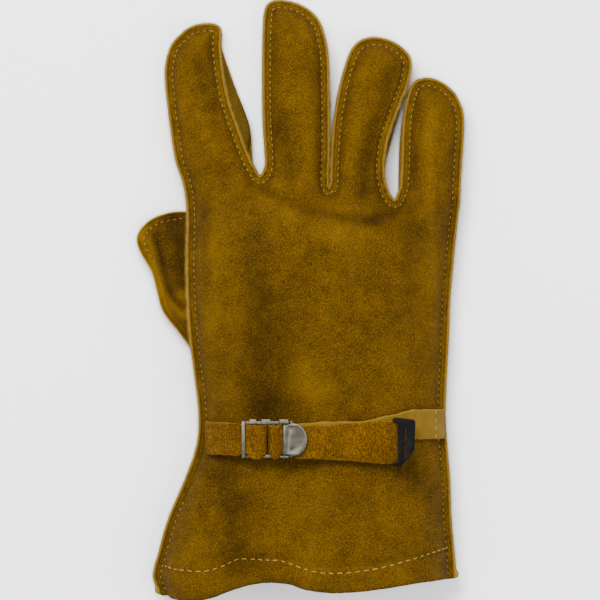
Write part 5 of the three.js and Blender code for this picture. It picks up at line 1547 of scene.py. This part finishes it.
def stitching_tree():
    """Puts dashes along the edges of a mesh: pitch apart, in line with them, and a little uneven."""
    tree = bpy.data.node_groups.new("stitching", "GeometryNodeTree")
    for name, kind in (
        ("Geometry", "Geometry"), ("Dash", "Object"), ("Pitch", "Float"), ("Thread", "Material"),
        ("Seed", "Int"),
    ):
        tree.interface.new_socket(name, in_out="INPUT", socket_type="NodeSocket" + kind)
    tree.interface.new_socket("Geometry", in_out="OUTPUT", socket_type="NodeSocketGeometry")
    given = add_node(tree, "NodeGroupInput")
    lines = add_node(tree, "GeometryNodeMeshToCurve", links={"Mesh": given.outputs["Geometry"]})
    spots = add_node(
        tree, "GeometryNodeResampleCurve", {"mode": "LENGTH"},
        links={"Curve": lines.outputs["Curve"], "Length": given.outputs["Pitch"]},
    )
    ahead = add_node(tree, "GeometryNodeInputTangent")
    up = add_node(tree, "GeometryNodeInputNamedAttribute", {"data_type": "FLOAT_VECTOR"}, {"Name": "up"})
    along = add_node(
        tree, "FunctionNodeAlignRotationToVector", {"axis": "X"}, links={"Vector": ahead.outputs["Tangent"]},
    )
    upright = add_node(
        tree, "FunctionNodeAlignRotationToVector", {"axis": "Z", "pivot_axis": "X"},
        links={"Rotation": along.outputs["Rotation"], "Vector": up.outputs["Attribute"]},
    )
    sway = add_node(
        tree, "FunctionNodeRandomValue", {"data_type": "FLOAT_VECTOR"},
        {0: [-turn for turn in SWAY], 1: SWAY}, {"Seed": given.outputs["Seed"]},
    )
    turned = add_node(
        tree, "FunctionNodeRotateRotation", {"rotation_space": "LOCAL"},
        links={"Rotation": upright.outputs["Rotation"], "Rotate By": sway.outputs["Value"]},
    )
    sizes = add_node(
        tree, "FunctionNodeRandomValue", {"data_type": "FLOAT_VECTOR"},
        {0: SMALLEST, 1: LARGEST}, {"Seed": given.outputs["Seed"]},
    )
    dash = add_node(tree, "GeometryNodeObjectInfo", links={"Object": given.outputs["Dash"]})
    placed = add_node(
        tree, "GeometryNodeInstanceOnPoints",
        links={
            "Points": spots.outputs["Curve"], "Instance": dash.outputs["Geometry"],
            "Rotation": turned.outputs["Rotation"], "Scale": sizes.outputs["Value"],
        },
    )
    real = add_node(tree, "GeometryNodeRealizeInstances", links={"Geometry": placed.outputs["Instances"]})
    painted = add_node(
        tree, "GeometryNodeSetMaterial",
        links={"Geometry": real.outputs["Geometry"], "Material": given.outputs["Thread"]},
    )
    add_node(tree, "NodeGroupOutput", links={"Geometry": painted.outputs["Geometry"]})
    return tree


stitching = stitching_tree()


def made_plain(piece, name):
    """A plain mesh object of what a piece's modifiers make of it. The piece itself goes."""
    bpy.context.view_layer.update()
    graph = bpy.context.evaluated_depsgraph_get()
    mesh = bpy.data.meshes.new_from_object(piece.evaluated_get(graph), depsgraph=graph)
    mesh.name = name
    made = in_scene(name, mesh)
    bpy.data.objects.remove(piece)
    return made


def repeated(name, lines, pitch, item, material, seed):
    """One small object again and again along lines of places and normals, as one plain mesh."""
    guide = line_object(name + "_guide", lines)
    modifier = guide.modifiers.new("repeated", "NODES")
    modifier.node_group = stitching
    values = {"Dash": item, "Pitch": pitch * MM, "Thread": material, "Seed": seed}
    for socket in stitching.interface.items_tree:
        if socket.in_out == "INPUT" and socket.name in values:
            modifier[socket.identifier] = values[socket.name]
    made = made_plain(guide, name)
    bpy.data.objects.remove(item)
    made.data.materials.clear()
    made.data.materials.append(material)
    made.data.polygons.foreach_set("material_index", [0] * len(made.data.polygons))
    for point in made.data.vertices:
        point.co.z = max(point.co.z, 0)
    finished(made, "glove", "suede")
    return made


def sewn(name, lines, pitch, length, radius, seed, dip=0.5):
    """Stitches along lines of places and normals."""
    return repeated(name, lines, pitch, dash_mesh(length, radius, dip), thread, seed)


def tuft_mesh(count, longest, radius, seed):
    """Loose fibres of a cut edge: thin spikes that fan out of it, along their own Y."""
    dice = random.Random(seed)
    points = []
    faces = []
    for _ in range(count):
        start = Vector((dice.uniform(-0.5, 0.5), -0.25, dice.uniform(-0.5, 0.3)))
        way = Vector((dice.uniform(-0.9, 0.9), 1, dice.uniform(-0.4, 0.7))).normalized()
        across_way = way.cross(Vector((0, 0, 1))).normalized()
        first = len(points)
        for k in range(3):
            turn = 2 * math.pi * k / 3
            side = across_way * math.cos(turn) + way.cross(across_way) * math.sin(turn)
            points.append(tuple((start + side * radius) * MM))
        points.append(tuple((start + way * longest * dice.uniform(0.35, 1)) * MM))
        faces += [(first, first + 1, first + 3), (first + 1, first + 2, first + 3)]
        faces += [(first + 2, first, first + 3), (first + 2, first + 1, first)]
    mesh = bpy.data.meshes.new("tuft")
    mesh.from_pydata(points, [], faces)
    return bpy.data.objects.new("tuft", mesh)


def on_surface(tree, places, lift):
    """Places and normals on a surface under places of the plan, lifted a little."""
    line = []
    for x, y in places:
        hit, normal = top_of(tree, x, y)
        line.append((hit + normal * lift, normal))
    return line


def even_line(rows, step=0.6):
    """Places a step apart along a line of rows."""
    rows = np.array(rows)[:, :2]
    along = np.concatenate([[0], np.cumsum(np.hypot(*np.diff(rows, axis=0).T))])
    spots = np.arange(0, along[-1], step)
    return np.stack([np.interp(spots, along, c) for c in rows.T], 1)


STITCH_INSET = 3.3
SEAM_PITCH = 3.0
HEM_PITCH = 4.1
TAB_PITCH = 2.9
STITCH_LIFT = 0.12
SUNK_STITCHES = (425, 505)  # heights in the picture's frame
THUMB_STITCHES = (0.66, 1)  # the part of the thumb's edge whose stitches show
back_tree = tree_of(bpy.data.objects["back_leather"])
thumb_tree = tree_of(bpy.data.objects["thumb_upper_leather"])
_, inner_edge = panel_outline(False, -STITCH_INSET)
seam_line = even_line(inner_edge)
above_bottom, _ = hem_share(back_bottom, seam_line[:, 0], seam_line[:, 1])
seam_line = seam_line[above_bottom > 1]
# On the left the stitches sink out of sight between the strap and the cuff's lower part
hidden_from, hidden_to = (picture_place(0, py)[1] for py in SUNK_STITCHES)
left_cuff = (seam_line[:, 0] < 0) & (seam_line[:, 1] < hidden_from)
seam_lines = [seam_line[left_cuff & (seam_line[:, 1] < hidden_to)], seam_line[~left_cuff]]
sewn("seam_stitches", [on_surface(back_tree, a, STITCH_LIFT) for a in seam_lines], SEAM_PITCH, 1.75, 0.19, 1)

HEM_STITCHES = (
    (166, 568), (175.5, 570.6), (206, 572), (223, 567), (238, 561), (264, 561), (282, 562), (303.5, 569),
    (321, 573), (347, 573), (379, 568.5), (412, 560), (449, 549),
)
hem_at, _ = spline([picture_place(*p) for p in HEM_STITCHES])
hem_line = even_line(hem_at(np.linspace(0, 1, 200)))
sewn("hem_stitches", [on_surface(back_tree, hem_line, 0.15)], HEM_PITCH, 2.7, 0.25, 2)

thumb_at, _ = spline(thumb_plan[:len(THUMB) + 1])
outer_edge = thumb_at(np.linspace(*THUMB_STITCHES, 200))
thumb_line = even_line(outer_edge + inward(outer_edge) * STITCH_INSET)
sewn("thumb_stitches", [on_surface(thumb_tree, thumb_line, STITCH_LIFT)], SEAM_PITCH, 1.7, 0.17, 3)

wrist_tree = tree_of(wrist)
tab_line = even_line([picture_place(435.7, py) for py in (413.5, 420, 430, 438)])
sewn("tab_stitches", [on_surface(wrist_tree, tab_line, STITCH_LIFT)], TAB_PITCH, 1.9, 0.24, 4)


# Loose fibres along the cut edges

TUFT_FIBRES = 8
FIBRE_RADIUS = 0.07


def level_line(rows, lift):
    """Places along an outline at its seam's height, with normals straight up."""
    return [(Vector((x, y, z + lift)), Vector((0, 0, 1))) for x, y, z in rows[:, :3]]


rim_lift = SEAM_GAP / 2 + 0.6 * LEATHER
# Each rim: its edge, how far its leather's middle lies above the seam, the tufts' spacing, their longest
# fibre, and the seeds of a tuft and of the row
RIMS = (
    ("upper_rim_fibres", back_edge, rim_lift, 0.7, 2.3, 11, 5),
    ("lower_rim_fibres", palm_edge, -rim_lift, 0.8, 2.2, 12, 6),
    ("thumb_rim_fibres", thumb_edge, rim_lift, 0.7, 2.3, 13, 7),
)
for name, rim_edge, lift, pitch, longest, tuft_seed, seed in RIMS:
    tuft = tuft_mesh(TUFT_FIBRES, longest, FIBRE_RADIUS, tuft_seed)
    repeated(name, [level_line(rim_edge, lift)], pitch, tuft, fibres, seed)


# Surface, light and camera. The photograph looks straight down, from far enough to show little depth.

FLOOR_REACH = 6
SKY_STRENGTH = 1.3
CAMERA_PLACE = (0, -0.0007, 4.0)
CAMERA_LENS = 508.5


def pale_paper():
    """Plain matt paper under the glove."""
    material, tree = new_material("pale_paper")
    place = add_node(tree, "ShaderNodeTexCoord").outputs["Object"]
    fibres = add_node(
        tree, "ShaderNodeTexNoise", values={"Scale": 400.0, "Detail": 2.0}, links={"Vector": place},
    )
    bump = add_node(
        tree, "ShaderNodeBump", values={"Strength": 0.1, "Distance": 0.1 * MM},
        links={"Height": fibres.outputs["Fac"]},
    )
    surface = add_node(
        tree, "ShaderNodeBsdfPrincipled",
        values={"Base Color": colour("#fdfdfc"), "Roughness": 0.9, "Specular IOR Level": 0.2},
        links={"Normal": bump.outputs["Normal"]},
    )
    add_node(tree, "ShaderNodeOutputMaterial", links={"Surface": surface.outputs["BSDF"]})
    return material


floor_mesh = bpy.data.meshes.new("floor")
floor_corners = [(x * FLOOR_REACH, y * FLOOR_REACH, 0) for x, y in ((-1, -1), (1, -1), (1, 1), (-1, 1))]
floor_mesh.from_pydata(floor_corners, [], [(0, 1, 2, 3)])
floor_mesh.materials.append(pale_paper())
floor = in_scene("floor", floor_mesh)

world = bpy.data.worlds.new("studio")
bpy.context.scene.world = world
world.use_nodes = True
sky = world.node_tree.nodes["Background"].inputs
sky["Color"].default_value = colour("#f6f7fa")
sky["Strength"].default_value = SKY_STRENGTH


def soft_light(name, place, size, power):
    """A rectangular light, aimed at the middle of the glove."""
    data = bpy.data.lights.new(name, "AREA")
    data.shape = "RECTANGLE"
    data.size, data.size_y = size
    data.energy = power
    light = in_scene(name, data)
    light.location = place
    light.rotation_euler = (-Vector(place)).to_track_quat("-Z", "Y").to_euler()
    light.visible_camera = False


soft_light("key_light", (-0.25, 0.55, 1.1), (0.7, 0.5), 36.0)
soft_light("fill_light", (0.6, -0.3, 1.0), (0.8, 0.8), 9.0)

camera_data = bpy.data.cameras.new("camera")
camera_data.sensor_width = 36
camera_data.lens = CAMERA_LENS
camera_data.clip_start = 0.1
camera_data.clip_end = 100
camera = in_scene("camera", camera_data)
camera.location = CAMERA_PLACE
bpy.context.scene.camera = camera

bpy.context.view_layer.update()
